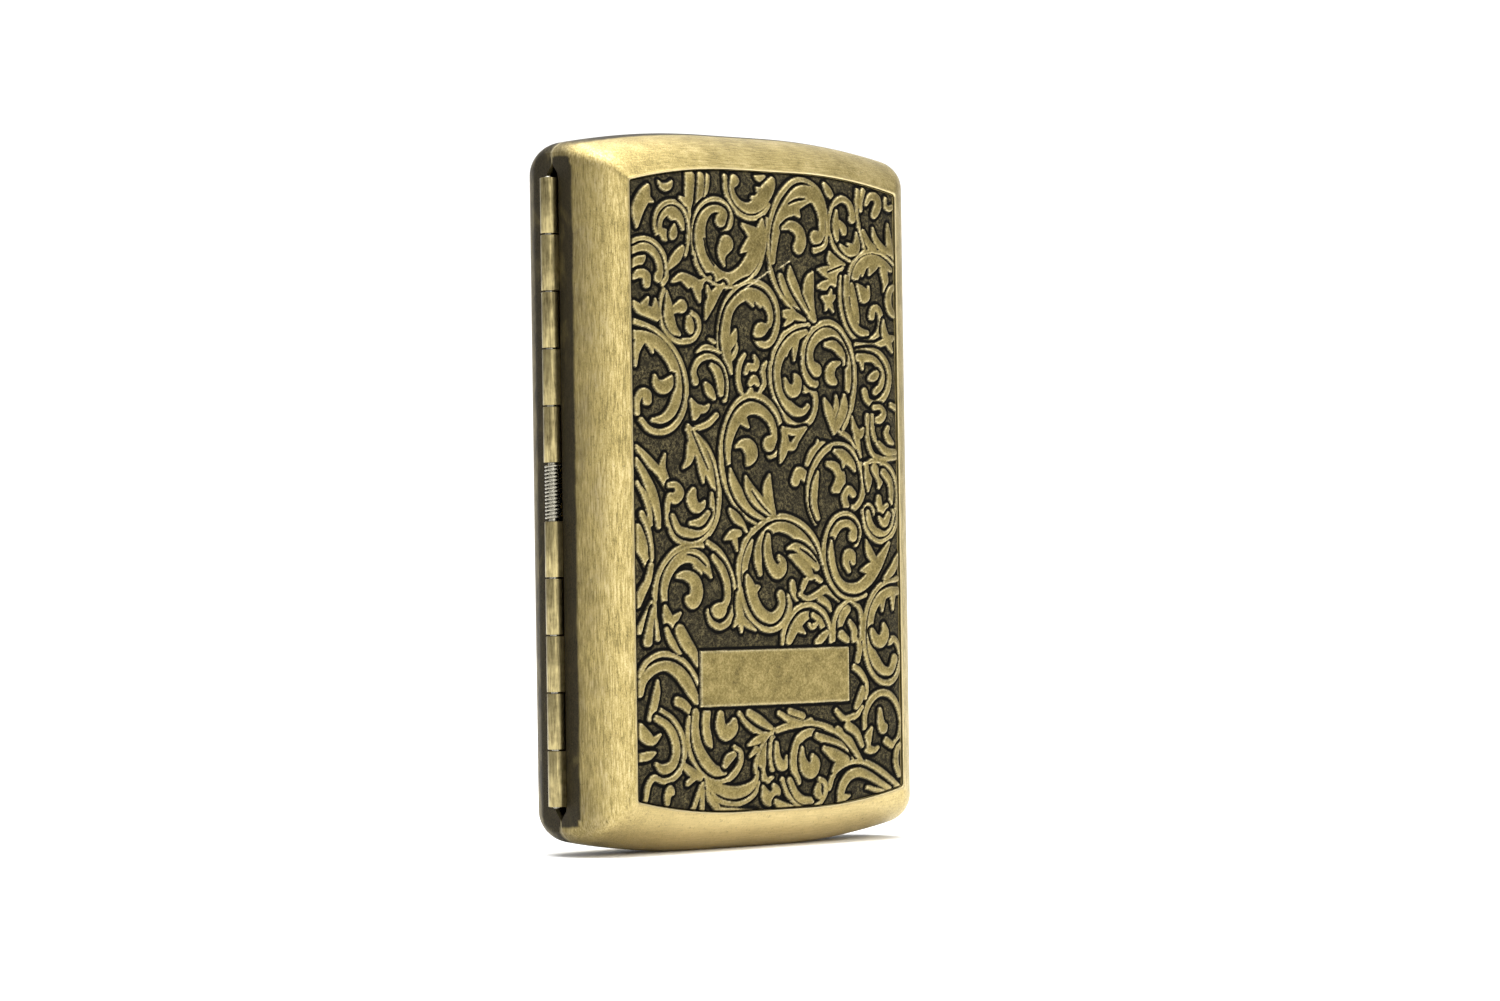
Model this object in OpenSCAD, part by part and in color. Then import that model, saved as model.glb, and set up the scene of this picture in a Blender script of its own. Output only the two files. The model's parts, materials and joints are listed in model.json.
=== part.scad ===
// Slim pocket needle case: two pressed brass shells on a knuckle hinge with a coil spring in the middle.
// The case stands on one short end: X is its width with the hinge at -X, Y its thickness with the lid
// at -Y, Z its length, and the origin is the middle of the resting flat. All sizes are in mm.

/* [Body] */
// Width of the two shells, without the hinge barrels and the button
body_w = 61.8; // [50:0.1:80]
// Length of the case, from its resting flat to the top of the other bowed end
body_h = 99.4; // [80:0.1:130]
// Thickness of the closed case, faces' crowns included (the panels lie a little lower)
body_t = 21.6; // [16:0.1:30]
// How far each short end bows out past its corners
end_bow = 2.6; // [0:0.1:5]
// Width of the straight stretch at the middle of each bowed end
foot_w = 12; // [4:0.5:20]
// Depth of the flat planed on the bottom end, so that the case can stand
foot_depth = 0.2; // [0.05:0.05:0.5]
// Corner radius of the outline at the seam
corner_r = 3.4; // [1:0.1:8]
// Radius of the rounded shoulder between side and face
shoulder_r = 9.5; // [4:0.1:10]
// Extra rise of each face at its middle
crown_rise = 0.5; // [0:0.1:2]
// Thickness of the pressed sheet
sheet_t = 0.7; // [0.4:0.05:1.2]

/* [Decorated panel] */
// Width of the recessed panel
panel_w = 49.6; // [30:0.1:60]
// Length of the recessed panel along its middle
panel_h = 88.6; // [60:0.1:110]
// Bow of the panel's short edges
panel_bow = 2.2; // [0:0.1:5]
// Depth of the panel's ground below the border
panel_recess = 0.35; // [0.1:0.05:0.6]
// Width of the blank nameplate
plate_w = 27.7; // [10:0.1:40]
// Height of the blank nameplate
plate_h = 7.7; // [4:0.1:14]
// Nameplate centre below the middle of the panel
plate_drop = 25.8; // [10:0.1:36]

/* [Hinge] */
// Length of the row of knuckles
row_l = 85.6; // [60:0.1:100]
// Outer diameter of a knuckle
knuckle_d = 2.4; // [1.8:0.1:4]
// Diameter of the hinge pin
pin_d = 1.2; // [0.8:0.05:2]
// Thickness of the leaf sheet
leaf_t = 0.5; // [0.3:0.05:0.8]
// Depth of the flat planed along the hinge side
land_depth = 0.5; // [0.2:0.05:0.6]
// Half the width of the slot between the two rims
slot_half = 1.3; // [1.1:0.05:1.8]
// Wire diameter of the hinge spring
coil_wire_d = 0.4; // [0.2:0.05:0.5]
// Number of turns of the hinge spring
coil_turns = 14; // [8:1:16]

/* [Needle tray and lid tray] */
// Outer width of both trays
tray_w = 46; // [30:0.5:47]
// Outer length of both trays
tray_l = 82; // [60:0.5:84]
// Height of the tray's rim
tray_rim = 2.95; // [1:0.05:4]
// Sheet thickness of the trays
tray_t = 0.5; // [0.3:0.05:0.8]
// Thickness of the needle felt
felt_t = 2; // [1:0.1:2.4]
// Length of the magnet strip along the case
magnet_l = 14; // [8:0.5:30]
// Thickness of the lid's felt
lid_felt_t = 1.5; // [1:0.1:2.4]

/* [Retaining bail] */
// Distance from the bail's pivot to the outer edge of its bar
bail_reach = 9.5; // [6:0.1:10]
// Distance between the outer faces of the bail's arms
bail_l = 65.4; // [40:0.1:74]
// Width of the bail's bar
bail_bar_w = 2; // [1:0.1:3]

/* [Latch] */
// Diameter of the push button
button_d = 2.8; // [2:0.1:3.2]
// How far the button stands out past the side
button_out = 1.3; // [0.8:0.1:2]
// Travel of the button
button_travel = 0.9; // [0.5:0.1:1]

/* [Output] */
// Sub-part to draw

/* [Hidden] */
$fn = 48;
// Clearance of a running fit, overshoot of a cutting tool, and sink of a piece joined to another
running_gap = 0.05;
over = 1;
sink = 0.01;
half_w = body_w / 2;
half_h = (body_h + foot_depth) / 2;
foot_z = half_h - body_h;
half_panel_w = panel_w / 2;
half_panel_h = panel_h / 2;
border_w = half_w - half_panel_w;
seam_wall = body_t / 2 - crown_rise - shoulder_r;
sharp_r = 0.4;
inner_round = 7;

// Colours of the drawing
antique_brass = [0.78, 0.66, 0.4];
leaf_brass = [0.74, 0.63, 0.38];
tray_brass = [0.85, 0.72, 0.42];
steel = [0.7, 0.7, 0.72];
spring_steel = [0.75, 0.75, 0.77];
felt_red = [0.45, 0.08, 0.12];
magnet_grey = [0.15, 0.15, 0.16];

// Hinge axis and slot spacing
pin_r = pin_d / 2;
knuckle_r = knuckle_d / 2;
barrel_out = 0.1;
axis_x = -half_w - barrel_out;
slot_n = 11;
slot_pitch = row_l / slot_n;
slot_margin = 0.3;
slot_taper = 1.6;
slot_cut_in = 1.6;
knuckle_gap = 0.16;
pin_out = 0.1;
strip_low_y = slot_half;
strip_high_y = 3.6;
spring_slot = 5;
back_slots = [0, 2, 4, 7, 9];
front_slots = [1, 3, 6, 8, 10];
land_x = -half_w + land_depth;
inner_land_x = land_x + sheet_t;

// Shoulder angles, from the seam wall at 90 degrees up to the face
panel_angle = asin(1 - border_w / shoulder_r);
land_angle = asin(1 - land_depth / shoulder_r);
shoulder_steps = 6;
face_angle = 3;
face_steps = 3;
crown_steps = 4;
inner_steps = 8;
inner_r = shoulder_r - sheet_t;
inner_floor = seam_wall + shoulder_r - panel_recess - sheet_t;
inner_angle = acos((inner_floor - seam_wall) / inner_r);
corner_steps = 6;
end_steps = 12;
side_steps = 8;

// Trays
tray_back_y = inner_floor;
tray_floor_y = tray_back_y - tray_t;
tray_top_y = tray_back_y - tray_rim;
tray_r = 2.5;
tray_in_w = tray_w - 2 * tray_t;
tray_in_l = tray_l - 2 * tray_t;
divider_t = 0.6;
pad_gap = 0.2;
magnet_t = 1.4;
divider_z = -tray_in_l / 2 + magnet_l + 2 * pad_gap;
bar_w = 4;
bar_t = 0.5;
bar_z = 20;

// Bail
bail_x = -20.3;
bail_y = 5.2;
bail_arm_t = 0.8;
bail_eye_r = 1.2;
bail_pin_r = 0.6;
bail_head_r = 1;
bail_head_t = 0.4;
bail_pin_in = 1.6;
bail_bar_t = 0.6;
lug_t = 0.8;
lug_gap = 0.3;
lug_z = bail_l / 2 + lug_gap;
lug_w = 2.8;
bail_coil_r = 0.95;
bail_wire_r = 0.2;
bail_coil_n = 3;
bail_coil_pitch = 0.5;

// Latch
button_r = button_d / 2;
button_y = 2.1;
button_tip_x = half_w + button_out;
flange_r = 1.8;
latch_x = 28.3;
latch_t = 0.5;
latch_w = 18;
latch_low_y = 0.4;
latch_high_y = 5;
post_z = 6.6;
post_r = 0.6;
post_head_r = 1.3;
post_head_t = 0.5;
post_head_x = 24.8;
hook_w = 5;
hook_end_y = -3;
hook_nose = 0.45;
hook_nose_w = 0.7;
keeper_x = 29.35;
keeper_l = 10;
keeper_t = 0.45;
keeper_top = 0.1;
keeper_deep = 2.1;
keeper_back = 0.25;
dome_r = 0.5;
flange_t = 0.6;
latch_coil_n = 4;
latch_coil_r = 0.95;
latch_wire_r = 0.18;

function mix(a, b, t) = a + (b - a) * t;

// Outline at t: 0 is the seam outline and 1 the panel's edge. One quarter, then mirrored to four.
function out_w(t) = mix(half_w, half_panel_w, t);
function out_h(t) = mix(half_h, half_panel_h, t);
function out_bow(t) = mix(end_bow, panel_bow, t);
function out_r(t) = t > 1 ? sharp_r + (t - 1) * inner_round : mix(corner_r, sharp_r, t);
function end_z(x, t) = out_h(t) - out_bow(t) * pow(max(abs(x) - foot_w / 2, 0) / (out_w(t) - foot_w / 2), 2);
function end_tilt(t) = atan(2 * out_bow(t) / (out_w(t) - foot_w / 2));
function corner_x(t) = out_w(t) - out_r(t) + out_r(t) * sin(end_tilt(t));
function corner_z(t) = end_z(corner_x(t), t) - out_r(t) * cos(end_tilt(t));
function end_x(i, t) = corner_x(t) * (1 - i / end_steps);
function quarter(t) = concat(
    [for (i = [0 : side_steps - 1]) [out_w(t), corner_z(t) * i / side_steps]],
    [for (i = [0 : corner_steps - 1])
        let (a = (90 - end_tilt(t)) * i / corner_steps)
        [out_w(t) - out_r(t) * (1 - cos(a)), corner_z(t) + out_r(t) * sin(a)]],
    [for (i = [0 : end_steps - 1]) [end_x(i, t), end_z(end_x(i, t), t)]]);
function flipped(q) = [for (i = [len(q) - 1 : -1 : 0]) q[i]];
function outline(t) = let (q = quarter(t), top = [0, out_h(t)], side = [out_w(t), 0],
        r = [for (i = [1 : len(q) - 1]) q[i]])
    concat([side], r, [top], flipped([for (p = r) [-p[0], p[1]]]), [-side],
        [for (p = r) -p], [-top], flipped([for (p = r) [p[0], -p[1]]]));

// A ring of the shell: the outline at t, at height y, kept inside the planed flats at x_low and z_low
function ring(t, y, x_low, z_low = foot_z) = [for (p = outline(t)) [max(p[0], x_low), y, max(p[1], z_low)]];
function crown_ring(k, y, s) = [for (p = outline(k)) [p[0] * s, y, p[1] * s]];
function shoulder_t(a, r, inset) = (inset + r * (1 - sin(a))) / border_w;
function shoulder_y(a, r) = seam_wall + r * cos(a);
function spread(a, b, n) = [for (i = [0 : n]) mix(a, b, i / n)];

face_t = shoulder_t(face_angle, shoulder_r, 0);
face_y = seam_wall + shoulder_r - panel_recess;
step_t = 0.02;
outer_angles = concat([90], spread(land_angle, panel_angle, shoulder_steps));
face_angles = spread(panel_angle, face_angle, face_steps);
shell_rings = concat(
    [for (i = [1 : crown_steps])
        let (s = i / (crown_steps + 1))
        crown_ring(face_t, face_y + crown_rise * (1 - s * s), s)],
    [for (i = [face_steps : -1 : 1])
        ring(shoulder_t(face_angles[i], shoulder_r, 0), shoulder_y(face_angles[i], shoulder_r) - panel_recess,
            land_x)],
    [ring(1 + step_t, shoulder_y(panel_angle, shoulder_r) - panel_recess, land_x)],
    [for (i = [len(outer_angles) - 1 : -1 : 0])
        ring(shoulder_t(outer_angles[i], shoulder_r, 0), shoulder_y(outer_angles[i], shoulder_r), land_x)],
    [ring(0, 0, land_x), ring(sheet_t / border_w, 0, inner_land_x)],
    [for (a = spread(90, inner_angle, inner_steps))
        ring(shoulder_t(a, inner_r, sheet_t), shoulder_y(a, inner_r), inner_land_x)]);

// A closed solid through a list of rings, with a fan of faces closing the first and the last
function middle(r) = (r[0] + r[len(r) / 2]) / 2;
module ring_solid(rings) {
    n = len(rings[0]);
    m = len(rings);
    polyhedron(
        points = concat([for (r = rings) for (p = r) p], [middle(rings[0]), middle(rings[m - 1])]),
        faces = concat(
            [for (i = [0 : n - 1]) [m * n, i, (i + 1) % n]],
            [for (k = [0 : m - 2]) for (i = [0 : n - 1]) [k * n + i, (k + 1) * n + i, k * n + (i + 1) % n]],
            [for (k = [0 : m - 2]) for (i = [0 : n - 1])
                [k * n + (i + 1) % n, (k + 1) * n + i, (k + 1) * n + (i + 1) % n]],
            [for (i = [0 : n - 1]) [m * n + 1, (m - 1) * n + (i + 1) % n, (m - 1) * n + i]]));
}

module at_middle() {
    translate([0, 0, -foot_z]) children();
}

module along_x(x, y, z) {
    translate([x, y, z]) rotate([0, 90, 0]) children();
}

// The slot left between the two rims for the knuckles, with tapered ends
slot_half_l = row_l / 2 + slot_margin;
slot_tip = slot_half_l + slot_taper;
module hinge_slot() {
    translate([-half_w - over, 0, 0]) rotate([90, 0, 90])
        linear_extrude(height = over + slot_cut_in)
            polygon([
                [0, -slot_tip],
                [slot_half, -slot_half_l],
                [slot_half, slot_half_l],
                [0, slot_tip],
                [-slot_half, slot_half_l],
                [-slot_half, -slot_half_l]
            ]);
}

// The nameplate stands on the panel's ground and rises part of the crown's height above the border's level
plate_base = 0.2;
plate_level = 0.7;
module nameplate() {
    translate([-plate_w / 2, face_y - plate_base, -plate_drop - plate_h / 2])
        cube([plate_w, plate_base + panel_recess + crown_rise * plate_level, plate_h]);
}

// One pressed half, the same for both sides
module pressing() {
    ring_solid(shell_rings);
    nameplate();
}

module back_shell() {
    color(antique_brass) at_middle() difference() {
        pressing();
        hinge_slot();
        along_x(latch_x, button_y, 0) cylinder(r = button_r + running_gap, h = button_tip_x - latch_x);
    }
}

module front_shell() {
    color(antique_brass) at_middle() difference() {
        mirror([0, 1, 0]) pressing();
        hinge_slot();
    }
}

function slot_z(i) = row_l / 2 - (i + 0.5) * slot_pitch;

// A leaf with its strip on the shell's inner side and a knuckle at each of its slots, drawn for +Y
module leaf(slots, bore_r) {
    knuckle_l = slot_pitch - knuckle_gap;
    difference() {
        union() {
            translate([inner_land_x, strip_low_y, -row_l / 2])
                cube([leaf_t, strip_high_y - strip_low_y, row_l]);
            for (i = slots) translate([0, 0, slot_z(i) - knuckle_l / 2]) {
                translate([axis_x, 0, 0]) cylinder(r = knuckle_r, h = knuckle_l);
                translate([axis_x, knuckle_r - leaf_t, 0])
                    cube([inner_land_x + leaf_t - axis_x, leaf_t, knuckle_l]);
                translate([inner_land_x, knuckle_r - leaf_t, 0])
                    cube([leaf_t, strip_low_y + leaf_t - knuckle_r + leaf_t, knuckle_l]);
            }
        }
        translate([axis_x, 0, -row_l / 2 - over]) cylinder(r = bore_r, h = row_l + 2 * over);
    }
}

module back_hinge_leaf() {
    color(leaf_brass) at_middle() leaf(back_slots, pin_r);
}

module front_hinge_leaf() {
    color(leaf_brass) at_middle() mirror([0, 1, 0]) leaf(front_slots, pin_r + running_gap);
}

module hinge_pin() {
    color(steel) at_middle()
        translate([axis_x, 0, -row_l / 2 - pin_out]) cylinder(r = pin_r, h = row_l + 2 * pin_out);
}

// The hinge spring: a helix of round wire with a straight leg at each end
coil_r = 0.92;
coil_sides = 6;
coil_per_turn = 18;
coil_end_gap = 0.3;
coil_half_l = slot_pitch / 2 - coil_end_gap;
coil_n = coil_turns * coil_per_turn + coil_per_turn / 2;
leg_l = 3.2;
coil_wire_r = coil_wire_d / 2;
function coil_z(i) = mix(-coil_half_l, coil_half_l, i / coil_n);
function coil_ring(i) =
    let (a = 90 + 360 * i / coil_per_turn)
    [for (k = [0 : coil_sides - 1])
        let (b = 360 * k / coil_sides, r = coil_r + coil_wire_r * cos(b))
        [r * cos(a), r * sin(a), coil_z(i) + coil_wire_r * sin(b)]];
function leg_ring(r) = [for (p = r) p + [leg_l, 0, 0]];
module hinge_spring() {
    turns = [for (i = [0 : coil_n]) coil_ring(i)];
    color(spring_steel) at_middle() translate([axis_x, 0, 0])
        ring_solid(flipped(concat([leg_ring(turns[0])], turns, [leg_ring(turns[coil_n])])));
}

module rounded_box(w, l, r, h) {
    linear_extrude(height = h) union() {
        square([w - 2 * r, l], center = true);
        square([w, l - 2 * r], center = true);
        for (sx = [-1, 1], sz = [-1, 1]) translate([sx * (w / 2 - r), sz * (l / 2 - r)]) circle(r = r);
    }
}

// Lays a shape drawn flat on XY against the back shell's floor: base at back_y, height towards the seam
module facing(back_y) {
    translate([0, back_y, 0]) rotate([90, 0, 0]) children();
}

// A tray drawn for the back shell: floor, upturned rim, and a rib if it is divided
module tray(divided) {
    facing(tray_back_y) {
        difference() {
            rounded_box(tray_w, tray_l, tray_r, tray_rim);
            translate([0, 0, tray_t]) rounded_box(tray_in_w, tray_in_l, tray_r - tray_t, tray_rim);
        }
        if (divided)
            translate([-tray_in_w / 2, divider_z, tray_t - sink]) cube([tray_in_w, divider_t, felt_t]);
    }
}

module needle_tray() {
    color(tray_brass) at_middle() tray(true);
}

// A pad that fills a tray between two heights along the case
module pad(low_z, high_z, t) {
    facing(tray_floor_y) translate([0, (low_z + high_z) / 2, 0])
        rounded_box(tray_in_w - 2 * pad_gap, high_z - low_z, tray_r - tray_t - pad_gap, t);
}

// The notch that the felt and the magnet leave round a lug of the bail
module lug_notch() {
    translate([bail_x - lug_w / 2 - pad_gap, 0, lug_z - pad_gap])
        cube([lug_w + 2 * pad_gap, tray_back_y, lug_t + 2 * pad_gap]);
}

module needle_felt() {
    color(felt_red) at_middle() difference() {
        pad(divider_z + divider_t + pad_gap, tray_in_l / 2 - pad_gap, felt_t);
        lug_notch();
    }
}

module needle_magnet() {
    color(magnet_grey) at_middle() difference() {
        pad(-tray_in_l / 2 + pad_gap, divider_z - pad_gap, magnet_t);
        mirror([0, 0, 1]) lug_notch();
    }
}

module lid_tray() {
    color(tray_brass) at_middle() mirror([0, 1, 0]) tray(false);
}

module lid_felt() {
    color(felt_red) at_middle() mirror([0, 1, 0])
        pad(-tray_in_l / 2 + pad_gap, tray_in_l / 2 - pad_gap, lid_felt_t);
}

// Two flat bars across the lid's tray, soldered on its rim
module packet_bars() {
    color(tray_brass) at_middle()
        for (s = [-1, 1])
            translate([-tray_w / 2, -tray_top_y, s * bar_z - bar_w / 2]) cube([tray_w, bar_t, bar_w]);
}

// Bail: lugs on the tray's floor, pins through them, and the bail itself turning on the pins
lug_round_r = lug_w / 2;
module bail_lug() {
    difference() {
        linear_extrude(height = lug_t) union() {
            translate([-lug_round_r, bail_y]) square([lug_w, tray_floor_y - bail_y]);
            translate([0, bail_y]) circle(r = lug_round_r);
        }
        translate([0, bail_y, -over]) cylinder(r = bail_pin_r, h = lug_t + 2 * over);
    }
}

module bail_lugs() {
    color(leaf_brass) at_middle()
        for (s = [0, 1]) mirror([0, 0, s]) translate([bail_x, 0, lug_z]) bail_lug();
}

module bail_pin() {
    pin_in_z = lug_z - lug_gap - bail_arm_t - bail_pin_in;
    translate([0, 0, pin_in_z]) cylinder(r = bail_pin_r, h = lug_z + lug_t - pin_in_z);
    translate([0, 0, lug_z + lug_t]) cylinder(r = bail_head_r, h = bail_head_t);
}

module bail_pins() {
    color(steel) at_middle()
        for (s = [0, 1]) mirror([0, 0, s]) translate([bail_x, bail_y, 0]) bail_pin();
}

// Small coils on the inner ends of the bail's pins
bail_coil_z = bail_l / 2 - bail_arm_t - bail_wire_r - running_gap;
module bail_springs() {
    color(spring_steel) at_middle() for (s = [0, 1]) mirror([0, 0, s])
        for (i = [0 : bail_coil_n - 1])
            translate([bail_x, bail_y, bail_coil_z - bail_coil_pitch * i])
                rotate_extrude() translate([bail_coil_r, 0]) circle(r = bail_wire_r);
}

module retaining_bail() {
    color(tray_brass) at_middle() {
        for (s = [0, 1]) mirror([0, 0, s]) translate([bail_x, bail_y, bail_l / 2 - bail_arm_t])
            difference() {
                union() {
                    cylinder(r = bail_eye_r, h = bail_arm_t);
                    translate([0, -bail_bar_t / 2, 0]) cube([bail_reach, bail_bar_t, bail_arm_t]);
                }
                translate([0, 0, -over])
                    cylinder(r = bail_pin_r + running_gap, h = bail_arm_t + 2 * over);
            }
        translate([bail_x + bail_reach - bail_bar_w, bail_y - bail_bar_t / 2, -bail_l / 2])
            cube([bail_bar_w, bail_bar_t, bail_l]);
    }
}

// Latch: a plate sliding on two posts, pushed out by coil springs and pushed in by the button. The posts
// end where their rims meet the curved inside of the shell's side.
wall_x = half_w - sheet_t;
facet_sag = 0.03;
post_root_x = wall_x - inner_r * (1 - sin(acos((button_y + post_r - seam_wall) / inner_r))) - facet_sag;
module latch_posts() {
    color(leaf_brass) at_middle() for (s = [-1, 1]) {
        along_x(post_head_x + post_head_t, button_y, s * post_z)
            cylinder(r = post_r, h = post_root_x - post_head_x - post_head_t);
        along_x(post_head_x, button_y, s * post_z) cylinder(r = post_head_r, h = post_head_t);
    }
}

latch_coil_room = latch_x - post_head_x - post_head_t;
latch_coil_pitch = (latch_coil_room - 2 * latch_wire_r) / (latch_coil_n - 1);
module latch_springs() {
    color(spring_steel) at_middle() for (s = [-1, 1], i = [0 : latch_coil_n - 1])
        along_x(post_head_x + post_head_t + latch_wire_r + i * latch_coil_pitch, button_y, s * post_z)
            rotate_extrude() translate([latch_coil_r, 0]) circle(r = latch_wire_r);
}

module latch_plate() {
    color(leaf_brass) at_middle() difference() {
        union() {
            translate([latch_x, latch_low_y, -latch_w / 2])
                cube([latch_t, latch_high_y - latch_low_y, latch_w]);
            translate([latch_x, hook_end_y, -hook_w / 2])
                cube([latch_t, latch_low_y - hook_end_y, hook_w]);
            translate([latch_x, hook_end_y, -hook_w / 2]) cube([latch_t + hook_nose, hook_nose_w, hook_w]);
        }
        for (s = [-1, 1])
            along_x(latch_x - over, button_y, s * post_z)
                cylinder(r = post_r + running_gap, h = latch_t + 2 * over);
    }
}

button_base_x = latch_x + latch_t;
button_l = button_tip_x - button_base_x;
module latch_button() {
    color(antique_brass) at_middle() along_x(button_base_x, button_y, 0) rotate_extrude() {
        square([flange_r, flange_t]);
        square([button_r, button_l - dome_r]);
        square([button_r - dome_r, button_l]);
        translate([button_r - dome_r, button_l - dome_r]) circle(r = dome_r);
    }
}

// The keeper, soldered to the lid's straight seam wall, with the bar that the hook's nose sits behind
module latch_keeper() {
    color(leaf_brass) at_middle() translate([0, 0, -keeper_l / 2]) linear_extrude(height = keeper_l)
        polygon([
            [wall_x, -keeper_top],
            [wall_x, -seam_wall],
            [wall_x - keeper_back, -keeper_deep],
            [keeper_x, -keeper_deep],
            [keeper_x, keeper_t - keeper_deep],
            [wall_x - keeper_t, keeper_t - keeper_deep],
            [wall_x - keeper_t, -keeper_top]
        ]);
}

back_shell();
front_shell();
back_hinge_leaf();
front_hinge_leaf();
hinge_pin();
hinge_spring();
needle_tray();
needle_felt();
needle_magnet();
lid_tray();
lid_felt();
packet_bars();
bail_lugs();
bail_pins();
bail_springs();
retaining_bail();
latch_posts();
latch_springs();
latch_plate();
latch_button();
latch_keeper();
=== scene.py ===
import json
import math
import bpy
import numpy as np
from mathutils import Matrix, Vector


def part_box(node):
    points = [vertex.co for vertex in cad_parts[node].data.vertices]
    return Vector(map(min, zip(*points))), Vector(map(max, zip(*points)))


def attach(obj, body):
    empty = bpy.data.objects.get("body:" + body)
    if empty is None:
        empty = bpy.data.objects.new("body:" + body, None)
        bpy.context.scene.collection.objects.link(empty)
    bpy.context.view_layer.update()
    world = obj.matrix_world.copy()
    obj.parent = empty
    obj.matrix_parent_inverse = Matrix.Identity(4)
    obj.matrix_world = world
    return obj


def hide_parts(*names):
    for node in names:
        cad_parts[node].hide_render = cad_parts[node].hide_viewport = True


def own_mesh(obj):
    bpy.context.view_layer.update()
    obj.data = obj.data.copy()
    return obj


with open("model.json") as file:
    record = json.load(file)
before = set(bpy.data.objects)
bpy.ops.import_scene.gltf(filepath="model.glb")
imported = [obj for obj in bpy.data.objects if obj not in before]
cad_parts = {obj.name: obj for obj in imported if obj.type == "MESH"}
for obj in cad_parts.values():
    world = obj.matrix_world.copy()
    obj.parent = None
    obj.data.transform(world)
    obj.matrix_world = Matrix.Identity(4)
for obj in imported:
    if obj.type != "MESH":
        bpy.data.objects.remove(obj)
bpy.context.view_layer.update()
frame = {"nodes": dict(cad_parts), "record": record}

# Lengths in this script are in millimetres, with the origin in the case's middle, until make_mesh turns them
# into metres in the CAD's frame.
MM = 0.001


def joint(name):
    return next(j for j in frame["record"]["behaviour"]["joints"] if j["name"] == name)


HINGE_X = joint("lid_hinge")["pos_m"][0] / MM
MID_Z = joint("lid_hinge")["pos_m"][2] / MM


def box_mm(node):
    """Lowest and highest corner of a CAD node, in this script's millimetres."""
    low, high = (np.array(c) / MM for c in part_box(node))
    shift = np.array([0, 0, MID_Z])
    return low - shift, high - shift


BACK_LOW, BACK_HIGH = box_mm("back_shell")
FOOT_Z = BACK_LOW[2]
HALF_W = BACK_HIGH[0]
HALF_H = BACK_HIGH[2]

# Shape of the pressed shells
END_BOW = 2.6
FOOT_W = 12
CORNER_R = 3.4
SHARP_R = 0.4
INNER_ROUND = 7
SHOULDER_R = 9.5
SEAM_WALL = 0.8
SHEET_T = 0.7
CROWN = 0.4
PANEL_W = 24.8
PANEL_H = 44.3
PANEL_BOW = 2.2
RECESS = 0.35
BORDER_W = HALF_W - PANEL_W
LAND_X = BACK_LOW[0]
INNER_LAND_X = LAND_X + SHEET_T
SLOT_HALF = 1.3
SLOT_HALF_L = 43.1
SLOT_TIP = 44.7
PLATE_HALF = (13.85, 3.85)
PLATE_Z = -25.8

# Height number of the relief's floor, between 0, the cut outlines, and 1, the tops
GROUND = 0.3


# ---------------------------------------------------------------- mesh helpers

def make_mesh(name, verts, faces, body, material, nodes=(), sharp=40, attributes=None):
    """A new piece from centred millimetre points. It rides on the body and stands for the CAD nodes."""
    points = np.asarray(verts, float) * MM
    points[:, 2] += MID_Z * MM
    mesh = bpy.data.meshes.new(name)
    mesh.from_pydata(points.tolist(), [], [tuple(int(i) for i in f) for f in faces])
    mesh.validate()
    for key, values in (attributes or {}).items():
        layer = mesh.attributes.new(key, "FLOAT", "POINT")
        layer.data.foreach_set("value", np.asarray(values, np.float32))
    mesh.shade_smooth()
    mesh.set_sharp_from_angle(angle=math.radians(sharp))
    mesh.materials.append(material)
    obj = bpy.data.objects.new(name, mesh)
    bpy.context.scene.collection.objects.link(obj)
    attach(obj, body)
    if nodes:
        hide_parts(*nodes)
    return obj


def side_faces(n, m):
    """Quads between m rings of n points, one ring after the other."""
    faces = []
    for k in range(m - 1):
        for i in range(n):
            j = (i + 1) % n
            faces.append((k * n + i, k * n + j, (k + 1) * n + j, (k + 1) * n + i))
    return faces


def rings_mesh(rings, centres):
    """Points and face list of a closed body through rings, capped at two centre points."""
    rings = [np.asarray(r, float) for r in rings]
    n = len(rings[0])
    m = len(rings)
    last = (m - 1) * n
    faces = side_faces(n, m)
    faces += [(m * n, (i + 1) % n, i) for i in range(n)]
    faces += [(m * n + 1, last + i, last + (i + 1) % n) for i in range(n)]
    return np.vstack(rings + [np.asarray(centres, float)]), faces


def outward(verts, faces):
    """The faces turned so that their normals point out of the closed body."""
    v = np.asarray(verts, float)
    volume = 0.0
    for f in faces:
        a = v[f[0]]
        for k in range(1, len(f) - 1):
            volume += np.dot(a, np.cross(v[f[k]], v[f[k + 1]]))
    return faces if volume > 0 else [f[::-1] for f in faces]


def inset(profile, amount):
    """A closed 2D outline moved inward by an amount along its corner bisectors."""
    p = np.asarray(profile, float)
    before = p - np.roll(p, 1, 0)
    after = np.roll(p, -1, 0) - p
    area = 0.5 * np.sum(p[:, 0] * np.roll(p[:, 1], -1) - np.roll(p[:, 0], -1) * p[:, 1])
    turn = 1 if area > 0 else -1

    def normal(e):
        e = e / np.maximum(np.linalg.norm(e, axis=1, keepdims=True), 1e-9)
        return turn * np.stack([-e[:, 1], e[:, 0]], 1)

    n = normal(before) + normal(after)
    n /= np.maximum(np.linalg.norm(n, axis=1, keepdims=True), 1e-9)
    return p + amount * n


def extrusion(profile, low, high, bevel):
    """Rings of a 2D outline from low to high, with rounded end edges: a list of (outline, height)."""
    rings = []
    steps = 2
    for k in range(steps + 1):
        a = math.pi / 2 * k / steps
        rings.append((inset(profile, bevel * (1 - math.sin(a))), low + bevel * (1 - math.cos(a))))
    for k in range(steps, -1, -1):
        a = math.pi / 2 * k / steps
        rings.append((inset(profile, bevel * (1 - math.sin(a))), high - bevel * (1 - math.cos(a))))
    return rings


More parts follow.
